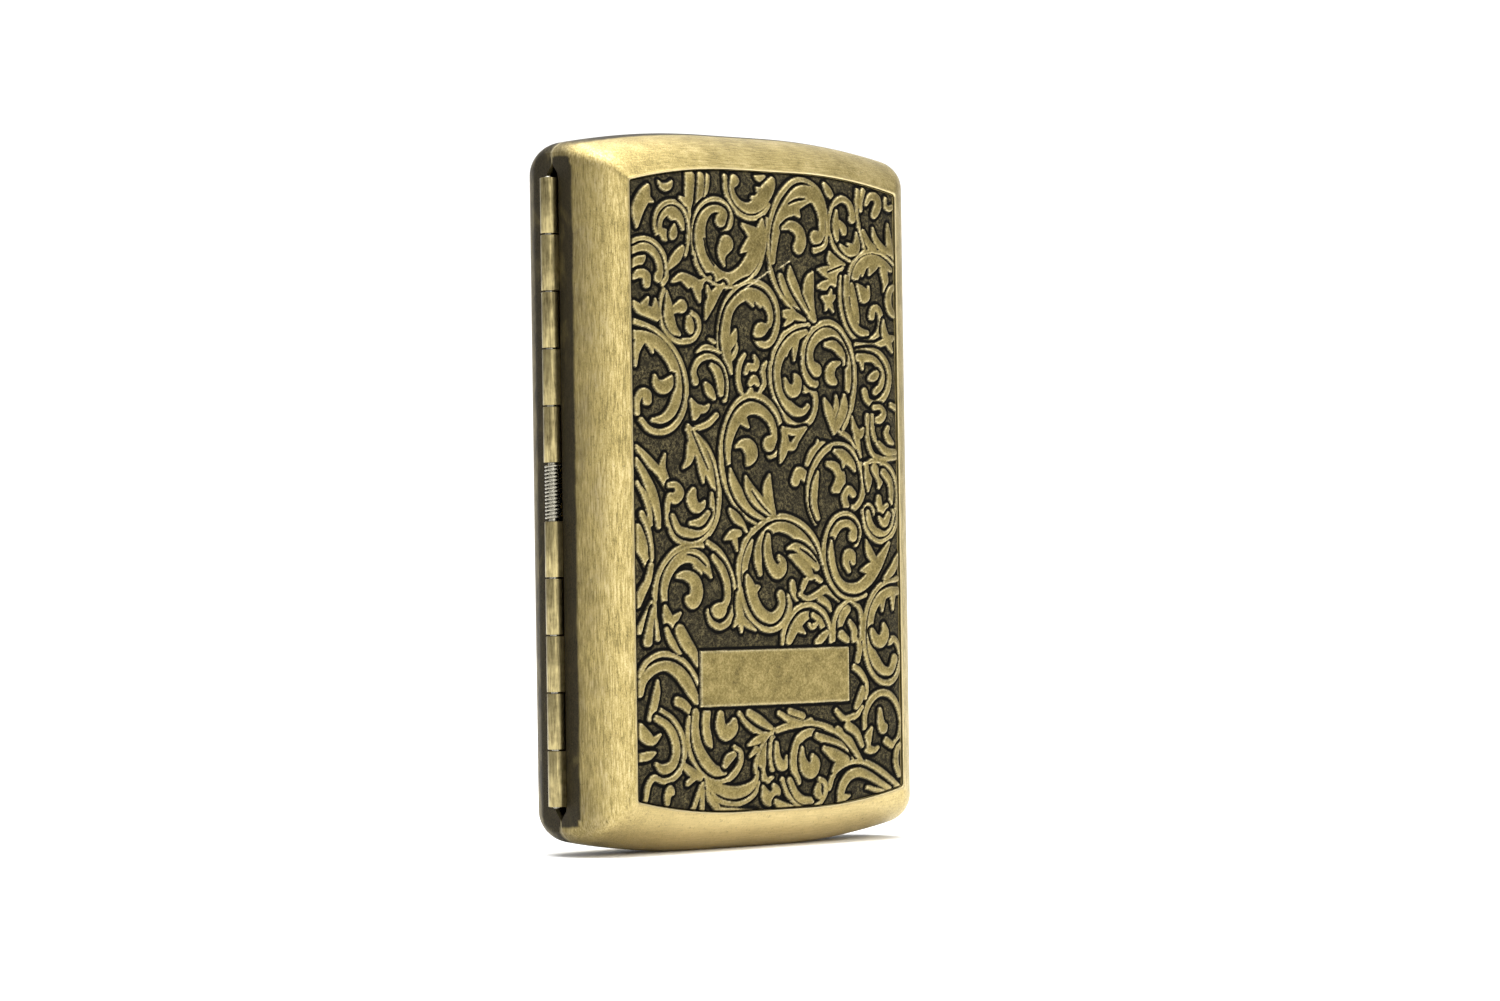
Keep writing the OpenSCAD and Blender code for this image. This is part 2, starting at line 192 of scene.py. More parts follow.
def extruded(profile, low, high, bevel, place):
    """A closed bevelled extrusion. place maps (u, v, height) arrays to millimetre points."""
    parts = extrusion(profile, low, high, bevel)
    n = len(profile)
    verts = np.vstack([place(r[:, 0], r[:, 1], np.full(n, h)) for r, h in parts])
    faces = side_faces(n, len(parts))
    faces.append(tuple(range(n - 1, -1, -1)))
    faces.append(tuple((len(parts) - 1) * n + i for i in range(n)))
    return verts, faces


def joined(parts):
    """Several (points, faces) bodies as one."""
    verts = []
    faces = []
    count = 0
    for v, f in parts:
        f = outward(v, f)
        verts.append(np.asarray(v, float))
        faces += [tuple(i + count for i in face) for face in f]
        count += len(v)
    return np.vstack(verts), faces


def smooth(value, low, high):
    """0 at low and 1 at high, with an even ease between them. low may be the larger."""
    k = np.clip((value - low) / (high - low), 0, 1)
    return k * k * (3 - 2 * k)


def arc(cx, cy, r, start, end, steps):
    """Points on an arc, angles in degrees."""
    a = np.radians(np.linspace(start, end, steps + 1))
    return np.stack([cx + r * np.cos(a), cy + r * np.sin(a)], 1)


def rounded_rect(w, h, r, steps=5):
    """Outline of a rectangle with round corners, centred."""
    corners = []
    for sx, sy, start in ((1, 1, 0), (-1, 1, 90), (-1, -1, 180), (1, -1, 270)):
        corners.append(arc(sx * (w / 2 - r), sy * (h / 2 - r), r, start, start + 90, steps))
    return np.vstack(corners)


def swept(path, radius, sides=10):
    """A round wire along a path, closed at both ends."""
    p = np.asarray(path, float)
    d = np.gradient(p, axis=0)
    d /= np.linalg.norm(d, axis=1, keepdims=True)
    u = np.cross(d[0], [0, 0, 1.0] if abs(d[0][2]) < 0.9 else [1.0, 0, 0])
    rings = []
    angles = np.linspace(0, 2 * math.pi, sides, endpoint=False)
    for k in range(len(p)):
        u = u - d[k] * np.dot(u, d[k])
        u /= np.linalg.norm(u)
        w = np.cross(d[k], u)
        rings.append(p[k] + radius * (np.outer(np.cos(angles), u) + np.outer(np.sin(angles), w)))
    return rings_mesh(rings, [p[0], p[-1]])


# How an outline's (u, v) and height lie in the case, by the axis that the height runs along
def along_z(u, v, h):
    return np.stack([u, v, h], 1)


def along_y(u, v, h):
    return np.stack([u, h, v], 1)


def along_x(u, v, h):
    return np.stack([h, u, v], 1)


# ---------------------------------------------------------------- materials

def srgb(r, g, b):
    """A linear colour from 0 to 255 sRGB numbers."""
    def line(c):
        c /= 255
        return c / 12.92 if c <= 0.04045 else ((c + 0.055) / 1.055) ** 2.4
    return (line(r), line(g), line(b), 1.0)


class Nodes:
    """Short calls for building one material's node tree."""

    def __init__(self, name, metallic=1.0):
        self.material = bpy.data.materials.new(name)
        self.material.use_nodes = True
        self.tree = self.material.node_tree
        self.shader = self.tree.nodes["Principled BSDF"]
        self.shader.inputs["Metallic"].default_value = metallic
        self.coords = self.tree.nodes.new("ShaderNodeTexCoord").outputs["Object"]

    def put(self, socket, value):
        if isinstance(value, bpy.types.NodeSocket):
            self.tree.links.new(value, socket)
        elif value is not None:
            socket.default_value = value

    def noise(self, scale, stretch=(1, 1, 1), detail=4.0, roughness=0.55, distortion=0.0):
        """Noise with a scale in features per millimetre, slower along a stretched axis."""
        mapping = self.tree.nodes.new("ShaderNodeMapping")
        mapping.inputs["Scale"].default_value = [scale / MM / s for s in stretch]
        self.tree.links.new(self.coords, mapping.inputs["Vector"])
        node = self.tree.nodes.new("ShaderNodeTexNoise")
        node.inputs["Scale"].default_value = 1.0
        node.inputs["Detail"].default_value = detail
        node.inputs["Roughness"].default_value = roughness
        node.inputs["Distortion"].default_value = distortion
        self.tree.links.new(mapping.outputs["Vector"], node.inputs["Vector"])
        return node.outputs["Fac"]

    def attribute(self, name):
        node = self.tree.nodes.new("ShaderNodeAttribute")
        node.attribute_name = name
        return node.outputs["Fac"]

    def steps(self, value, low, high, to_low=0.0, to_high=1.0):
        """value from low..high to to_low..to_high, held at the ends."""
        node = self.tree.nodes.new("ShaderNodeMapRange")
        node.clamp = True
        self.put(node.inputs["Value"], value)
        self.put(node.inputs["From Min"], low)
        self.put(node.inputs["From Max"], high)
        self.put(node.inputs["To Min"], to_low)
        self.put(node.inputs["To Max"], to_high)
        return node.outputs["Result"]

    def maths(self, operation, a, b):
        node = self.tree.nodes.new("ShaderNodeMath")
        node.operation = operation
        for socket, value in zip(node.inputs, (a, b)):
            self.put(socket, value)
        return node.outputs["Value"]

    def scaled_sum(self, a, share_a, b, share_b):
        """a times its share plus b times its share."""
        return self.maths("ADD", self.maths("MULTIPLY", a, share_a), self.maths("MULTIPLY", b, share_b))

    def varied(self, value, noise, amount):
        """value with a noise added about its mean."""
        return self.maths("ADD", value, self.maths("MULTIPLY", self.maths("SUBTRACT", noise, 0.5), amount))

    def mix(self, factor, a, b):
        """Colour a where factor is 0 and b where it is 1. The numbers are the colour mix's own sockets."""
        node = self.tree.nodes.new("ShaderNodeMix")
        node.data_type = "RGBA"
        node.clamp_factor = True
        self.put(node.inputs[0], factor)
        self.put(node.inputs[6], a)
        self.put(node.inputs[7], b)
        return node.outputs[2]

    def ramp(self, factor, stops):
        node = self.tree.nodes.new("ShaderNodeValToRGB")
        self.put(node.inputs["Fac"], factor)
        elements = node.color_ramp.elements
        while len(elements) < len(stops):
            elements.new(0.5)
        for element, (position, colour) in zip(elements, stops):
            element.position = position
            element.color = colour
        return node.outputs["Color"]

    def bump(self, height, distance):
        """Bump with a depth in millimetres."""
        node = self.tree.nodes.new("ShaderNodeBump")
        node.inputs["Strength"].default_value = 1.0
        node.inputs["Distance"].default_value = distance * MM
        self.put(node.inputs["Height"], height)
        self.put(self.shader.inputs["Normal"], node.outputs["Normal"])

    def finish(self, colour, roughness, metallic=None):
        self.put(self.shader.inputs["Base Color"], colour)
        self.put(self.shader.inputs["Roughness"], roughness)
        self.put(self.shader.inputs["Metallic"], metallic)
        return self.material


BRIGHT = srgb(204, 186, 136)
BRASS = srgb(166, 149, 95)
OLIVE = srgb(118, 106, 67)
UMBER = srgb(64, 57, 40)
PITCH = srgb(24, 22, 17)
DULL_SPECULAR = 0.15


def border_material():
    """Brushed antique brass: streaks along the border, olive mottling, dark patina and painted shade by
    attribute, a painted highlight, partly real wear, on the rims' edges, and a painted floor reflection on
    the bottom end.
    """
    n = Nodes("antique_brass_border")
    upright = n.noise(4.5, (1, 1, 9), 3, 0.6)
    level = n.noise(4.5, (9, 1, 1), 3, 0.6)
    ends = n.attribute("ends")
    streak = n.maths("ADD", n.maths("MULTIPLY", upright, n.maths("SUBTRACT", 1.0, ends)),
                     n.maths("MULTIPLY", level, ends))
    fine = n.noise(7.0, (1, 1, 1.6), 5, 0.75)
    cloud = n.noise(0.3, (1, 1, 1.8), 5, 0.65, 0.4)
    tone = n.scaled_sum(streak, 0.4, fine, 0.35)
    tone = n.maths("ADD", tone, n.maths("MULTIPLY", cloud, 0.25))
    brass = n.ramp(tone, [(0.4, OLIVE), (0.5, BRASS), (0.61, BRIGHT)])
    # painted floor reflection: the bottom end is lightened towards pale brass
    brass = n.mix(n.maths("MULTIPLY", n.attribute("painted_foot_light"), 0.75), brass, srgb(222, 202, 148))
    pits = n.noise(2.6, (1, 1, 1.5), 6, 0.8)
    brass = n.mix(n.steps(pits, 0.56, 0.7, 0.0, 0.75), brass, UMBER)
    # patina with painted shade and painted dark reflections: the attribute darkens the hinge side, the top
    # end and the back shell by the seam
    patina_and_shade = n.varied(n.attribute("patina_and_shade"), cloud, 0.9)
    dark = n.steps(n.varied(patina_and_shade, fine, 0.6), 0.3, 0.95)
    stain_and_shade_colour = n.mix(n.steps(fine, 0.35, 0.65), PITCH, UMBER)
    colour = n.mix(dark, brass, stain_and_shade_colour)
    # painted highlight on the rims' edges, partly real wear, in a pale cream
    colour = n.mix(n.attribute("wear_and_highlight"), colour, srgb(236, 222, 178))
    rough = n.steps(streak, 0.3, 0.7, 0.48, 0.34)
    rough = n.maths("ADD", rough, n.maths("MULTIPLY", dark, 0.15))
    n.bump(n.maths("ADD", streak, n.maths("MULTIPLY", fine, 0.8)), 0.014)
    n.shader.inputs["Specular IOR Level"].default_value = DULL_SPECULAR
    return n.finish(colour, rough, n.steps(dark, 0, 1, 1.0, 0.8))


def relief_material():
    """The panel: worn brass on the tops, mottled dark patina on the ground, black in the outlines, and a
    painted highlight, partly real wear, along the tops' edges.
    """
    n = Nodes("antique_brass_relief")
    height = n.attribute("relief")
    grain = n.noise(3.4, (1, 1, 1), 5, 0.75)
    mottle = n.noise(0.5, (1, 1, 1), 4, 0.65)
    flecks = n.noise(2.4, (1, 1, 1), 6, 0.85)
    low = n.mix(n.steps(flecks, 0.46, 0.64), srgb(32, 29, 22), srgb(118, 108, 76))
    low = n.mix(n.steps(mottle, 0.36, 0.6, 0.7, 0.0), low, srgb(40, 37, 28))
    tops = n.ramp(n.scaled_sum(grain, 0.6, mottle, 0.4),
                  [(0.36, srgb(88, 78, 48)), (0.5, srgb(132, 118, 72)), (0.63, srgb(166, 150, 100))])
    edge = n.varied(height, grain, 0.5)
    colour = n.mix(n.steps(height, 0.1, GROUND), srgb(12, 11, 8), low)
    colour = n.mix(n.steps(edge, 0.5, 0.9), colour, tops)
    # painted highlight along the tops' edges, partly real rubbed wear, broken up by flecks
    edge_wear_and_highlight = n.maths("MULTIPLY", n.attribute("wear_and_highlight"), n.steps(flecks, 0.42, 0.6, 0.15, 1.0))
    colour = n.mix(edge_wear_and_highlight, colour, srgb(226, 212, 168))
    rough = n.steps(edge, 0.3, 0.9, 0.66, 0.42)
    n.bump(grain, 0.03)
    n.shader.inputs["Specular IOR Level"].default_value = DULL_SPECULAR
    return n.finish(colour, rough, n.steps(edge, 0.2, 0.8, 0.75, 1.0))


def satin_brass(name, light, dark, streak_axis=(1, 1, 12)):
    n = Nodes(name)
    streak = n.noise(5.0, streak_axis, 3, 0.6)
    cloud = n.noise(0.8, (1, 1, 1), 4, 0.6)
    tone = n.scaled_sum(streak, 0.6, cloud, 0.4)
    colour = n.ramp(tone, [(0.34, dark), (0.62, light)])
    n.bump(streak, 0.008)
    return n.finish(colour, n.steps(tone, 0.3, 0.7, 0.42, 0.28))


def wire_steel():
    n = Nodes("spring_wire")
    grain = n.noise(5.0, (1, 1, 1), 3, 0.6)
    colour = n.ramp(grain, [(0.3, srgb(112, 108, 96)), (0.7, srgb(172, 168, 152))])
    n.bump(grain, 0.004)
    return n.finish(colour, n.steps(grain, 0.3, 0.7, 0.18, 0.32))


def felt_material():
    """Wool felt: matted short fibres in two shades of wine red."""
    n = Nodes("wool_felt", metallic=0.0)
    fibre = n.noise(7.0, (1, 1, 1), 6, 0.75, 1.2)
    cloud = n.noise(0.35, (1, 1, 1), 3, 0.6)
    tone = n.scaled_sum(fibre, 0.7, cloud, 0.3)
    colour = n.ramp(tone, [(0.3, srgb(44, 7, 13)), (0.5, srgb(82, 15, 25)), (0.72, srgb(118, 34, 42))])
    n.shader.inputs["Sheen Weight"].default_value = 0.6
    n.shader.inputs["Sheen Roughness"].default_value = 0.5
    n.shader.inputs["Specular IOR Level"].default_value = 0.1
    n.bump(fibre, 0.12)
    return n.finish(colour, 0.95)


def magnet_material():
    """Flexible magnet sheet: matt charcoal with fine ribs and dust."""
    n = Nodes("magnet_sheet", metallic=0.0)
    grain = n.noise(9.0, (1, 1, 1), 4, 0.7)
    ribs = n.noise(3.0, (20, 1, 1), 1, 0.4)
    colour = n.ramp(grain, [(0.3, srgb(38, 38, 40)), (0.55, srgb(58, 57, 58)), (0.75, srgb(92, 90, 88))])
    n.bump(n.maths("ADD", ribs, n.maths("MULTIPLY", grain, 0.3)), 0.05)
    return n.finish(colour, n.steps(grain, 0.3, 0.7, 0.75, 0.55))


BORDER = border_material()
RELIEF = relief_material()
LEAF = satin_brass("leaf_brass_satin", srgb(172, 158, 112), srgb(92, 82, 54))
TRAY = satin_brass("tray_brass_polished", srgb(204, 180, 120), srgb(158, 134, 80), (1, 1, 6))
STEEL = wire_steel()
FELT = felt_material()
MAGNET = magnet_material()


# ---------------------------------------------------------------- shells

def out_bow(t):
    return END_BOW + (PANEL_BOW - END_BOW) * t


def out_w(t):
    return HALF_W + (PANEL_W - HALF_W) * t


def out_h(t):
    return HALF_H + (PANEL_H - HALF_H) * t


def out_r(t):
    return SHARP_R + (t - 1) * INNER_ROUND if t > 1 else CORNER_R + (SHARP_R - CORNER_R) * t


def end_z(x, t):
    past = np.maximum(np.abs(x) - FOOT_W / 2, 0) / (out_w(t) - FOOT_W / 2)
    return out_h(t) - out_bow(t) * past ** 2


SIDE_STEPS = 40
ROUND_STEPS = 10
END_STEPS = 26


def outline(t):
    """One ring of the shell's outline, as the CAD has it but with more points."""
    tilt = math.atan(2 * out_bow(t) / (out_w(t) - FOOT_W / 2))
    corner_x = out_w(t) - out_r(t) + out_r(t) * math.sin(tilt)
    corner_z = end_z(corner_x, t) - out_r(t) * math.cos(tilt)
    side = [(out_w(t), corner_z * i / SIDE_STEPS) for i in range(SIDE_STEPS)]
    turn = [(math.pi / 2 - tilt) * i / ROUND_STEPS for i in range(ROUND_STEPS)]
    corner = [(out_w(t) - out_r(t) * (1 - math.cos(a)), corner_z + out_r(t) * math.sin(a)) for a in turn]
    xs = [corner_x * (1 - i / END_STEPS) for i in range(END_STEPS)]
    end = [(x, float(end_z(x, t))) for x in xs]
    rest = np.array((side + corner + end)[1:])
    top = np.array([[0, out_h(t)]])
    right = np.array([[out_w(t), 0]])
    left_rest = (rest * [-1, 1])[::-1]
    low_rest = (rest * [1, -1])[::-1]
    return np.vstack([right, rest, top, left_rest, -right, -rest, -top, low_rest])


def shoulder_t(a, r, inset_by):
    return (inset_by + r * (1 - math.sin(math.radians(a)))) / BORDER_W


def shoulder_y(a, r):
    return SEAM_WALL + r * math.cos(math.radians(a))


PANEL_ANGLE = math.degrees(math.asin(1 - BORDER_W / SHOULDER_R))
EDGE_Y = shoulder_y(PANEL_ANGLE, SHOULDER_R)
INNER_R = SHOULDER_R - SHEET_T
INNER_FLOOR = SEAM_WALL + SHOULDER_R - RECESS - SHEET_T


def slot_y(z):
    """Height of the rim at the hinge side, cut back for the knuckles."""
    return np.interp(np.abs(z), [SLOT_HALF_L, SLOT_TIP], [SLOT_HALF, 0.0])


def shell_rows():
    """(t, y, lowest x, edge wear and painted highlight) of each ring, from the panel's step over the rim to
    the inner floor.
    """
    # The edge numbers paint a highlight on the rims' edges, partly real wear.
    rows = [
        (1.05, EDGE_Y - RECESS - 0.2, LAND_X, 0),
        (1.014, EDGE_Y - RECESS - 0.05, LAND_X, 0),
        (1.008, EDGE_Y - 0.12, LAND_X, 0.1),
        (1.0, EDGE_Y - 0.03, LAND_X, 0.45),
        (0.985, EDGE_Y + 0.012, LAND_X, 0.4),
        (0.965, EDGE_Y + 0.03, LAND_X, 0.1),
    ]
    first = PANEL_ANGLE + 2.5
    for a in np.linspace(first, 90, 26):
        rows.append((shoulder_t(a, SHOULDER_R, 0), shoulder_y(a, SHOULDER_R), LAND_X, 0))
    chamfer = 0.14
    rows += [
        (0, 0.45, LAND_X, 0),
        (0, chamfer + 0.03, LAND_X, 0.15),
        (chamfer * 0.3 / BORDER_W, chamfer * 0.3, LAND_X + 0.03, 0.3),
        (chamfer / BORDER_W, 0, LAND_X + chamfer, 0.1),
        ((SHEET_T - 0.05) / BORDER_W, 0, INNER_LAND_X - 0.05, 0),
        (SHEET_T / BORDER_W, 0.05, INNER_LAND_X, 0),
    ]
    inner_angle = math.degrees(math.acos((INNER_FLOOR - SEAM_WALL) / INNER_R))
    for a in np.linspace(90, inner_angle, 16):
        rows.append((shoulder_t(a, INNER_R, SHEET_T), shoulder_y(a, INNER_R), INNER_LAND_X, 0))
    return rows


# Where the shells are darkened: by the hinge, from its strip outwards, as patina with painted shade, and
# along the top end and the seam as painted dark reflections
HINGE_STRIP = 0.6
STAINED_LAND = 45.6
# patina with painted shade on the hinge side, which is turned from the light
HINGE_SHADE_X = -25.6
HINGE_SHADE_W = 4.6
HINGE_PATINA_AND_SHADE = 0.62
INSIDE_STAIN = 0.75
PANEL_STAIN = 0.35
# painted dark reflection along the top end
TOP_DARK_REFLECTION = 1.1
# painted dark reflection on the back shell by the seam
SEAM_DARK_REFLECTION = 0.95

# The rim's cut for the knuckles drops a little from ring to ring, which keeps the rings apart
RIM_DROP = 0.004


def shell_patina_and_shade(side, on_land, t, x, z):
    """How dark a ring's points outside the seam are: patina, with painted shade by the hinge and painted dark
    reflections along the top end and the back shell's seam.
    """
    # patina with painted shade, darker towards the hinge side
    by_hinge = np.clip((HINGE_SHADE_X - x) / HINGE_SHADE_W, 0, 1) ** 1.3 * HINGE_PATINA_AND_SHADE
    stain_and_shade = np.where(on_land, 1.0, by_hinge)
    stain_and_shade = np.maximum(stain_and_shade, PANEL_STAIN * np.clip((t - 0.8) / 0.2, 0, 1))
    # painted dark reflection along the top end, near the seam
    at_top = smooth(z, HALF_H - 4.5, HALF_H - 1) * (1 - smooth(t, 0.05, 0.12))
    stain_and_shade = np.where(on_land, stain_and_shade, np.maximum(stain_and_shade, TOP_DARK_REFLECTION * at_top))
    # painted dark reflection on the back shell, darkest at the seam
    if side > 0:
        stain_and_shade = np.maximum(stain_and_shade, SEAM_DARK_REFLECTION * (1 - np.clip(t / 1.1, 0, 1)))
    return stain_and_shade


def shell_points(side):
    """Points of one half, side -1 for the lid, with its patina and painted shade, edge wear and painted
    highlight, end, and painted floor reflection attributes.
    """
    rows = shell_rows()
    seam_row = next(k for k, r in enumerate(rows) if r[1] == 0)
    rings = []
    patina_and_shade = []
    wear_and_highlight = []
    ends = []
    painted_foot_light = []
    for k, (t, y, low_x, edge_wear_and_highlight) in enumerate(rows):
        o = outline(t)
        x = np.maximum(o[:, 0], low_x)
        z = np.maximum(o[:, 1], FOOT_Z)
        at_hinge = x < INNER_LAND_X + HINGE_STRIP
        cut = np.where(at_hinge, slot_y(z) + RIM_DROP * abs(k - seam_row), 0)
        ys = np.maximum(np.full(len(x), float(y)), cut)
        rings.append(np.stack([x, side * ys, z], 1))
        on_land = (x < LAND_X + 0.01) & (np.abs(z) < STAINED_LAND)
        if k < seam_row:
            stain_and_shade = shell_patina_and_shade(side, on_land, t, x, z)
        else:
            stain_and_shade = np.full(len(x), INSIDE_STAIN)
        patina_and_shade.append(stain_and_shade)
        wear_and_highlight.append(np.where(on_land, 0, edge_wear_and_highlight))
        at_end = np.clip((np.abs(z) - (HALF_H - 9 + 6 * (1 - t))) / 4, 0, 1)
        ends.append(at_end)
        # marks the bottom end for the painted floor reflection
        painted_foot_light.append(np.where(z < 0, at_end, 0))
    centres = [[0, side * (EDGE_Y - RECESS + 0.12), 0], [0, side * INNER_FLOOR, 0]]
    verts, faces = rings_mesh(rings, centres)
    cap = np.array([0.0, 0.0])
    values = {
        "patina_and_shade": np.concatenate(patina_and_shade + [cap]),
        "wear_and_highlight": np.concatenate(wear_and_highlight + [cap]),
        "ends": np.concatenate(ends + [cap]),
        "painted_foot_light": np.concatenate(painted_foot_light + [cap]),
    }
    return verts, outward(verts, faces), values


SHELLS = (("front_border", "front_shell", "lid", -1), ("back_border", "back_shell", "back", 1))
for shell_name, node, body, side in SHELLS:
    v, f, values = shell_points(side)
    make_mesh(shell_name, v, f, body, BORDER, [node], 32, values)
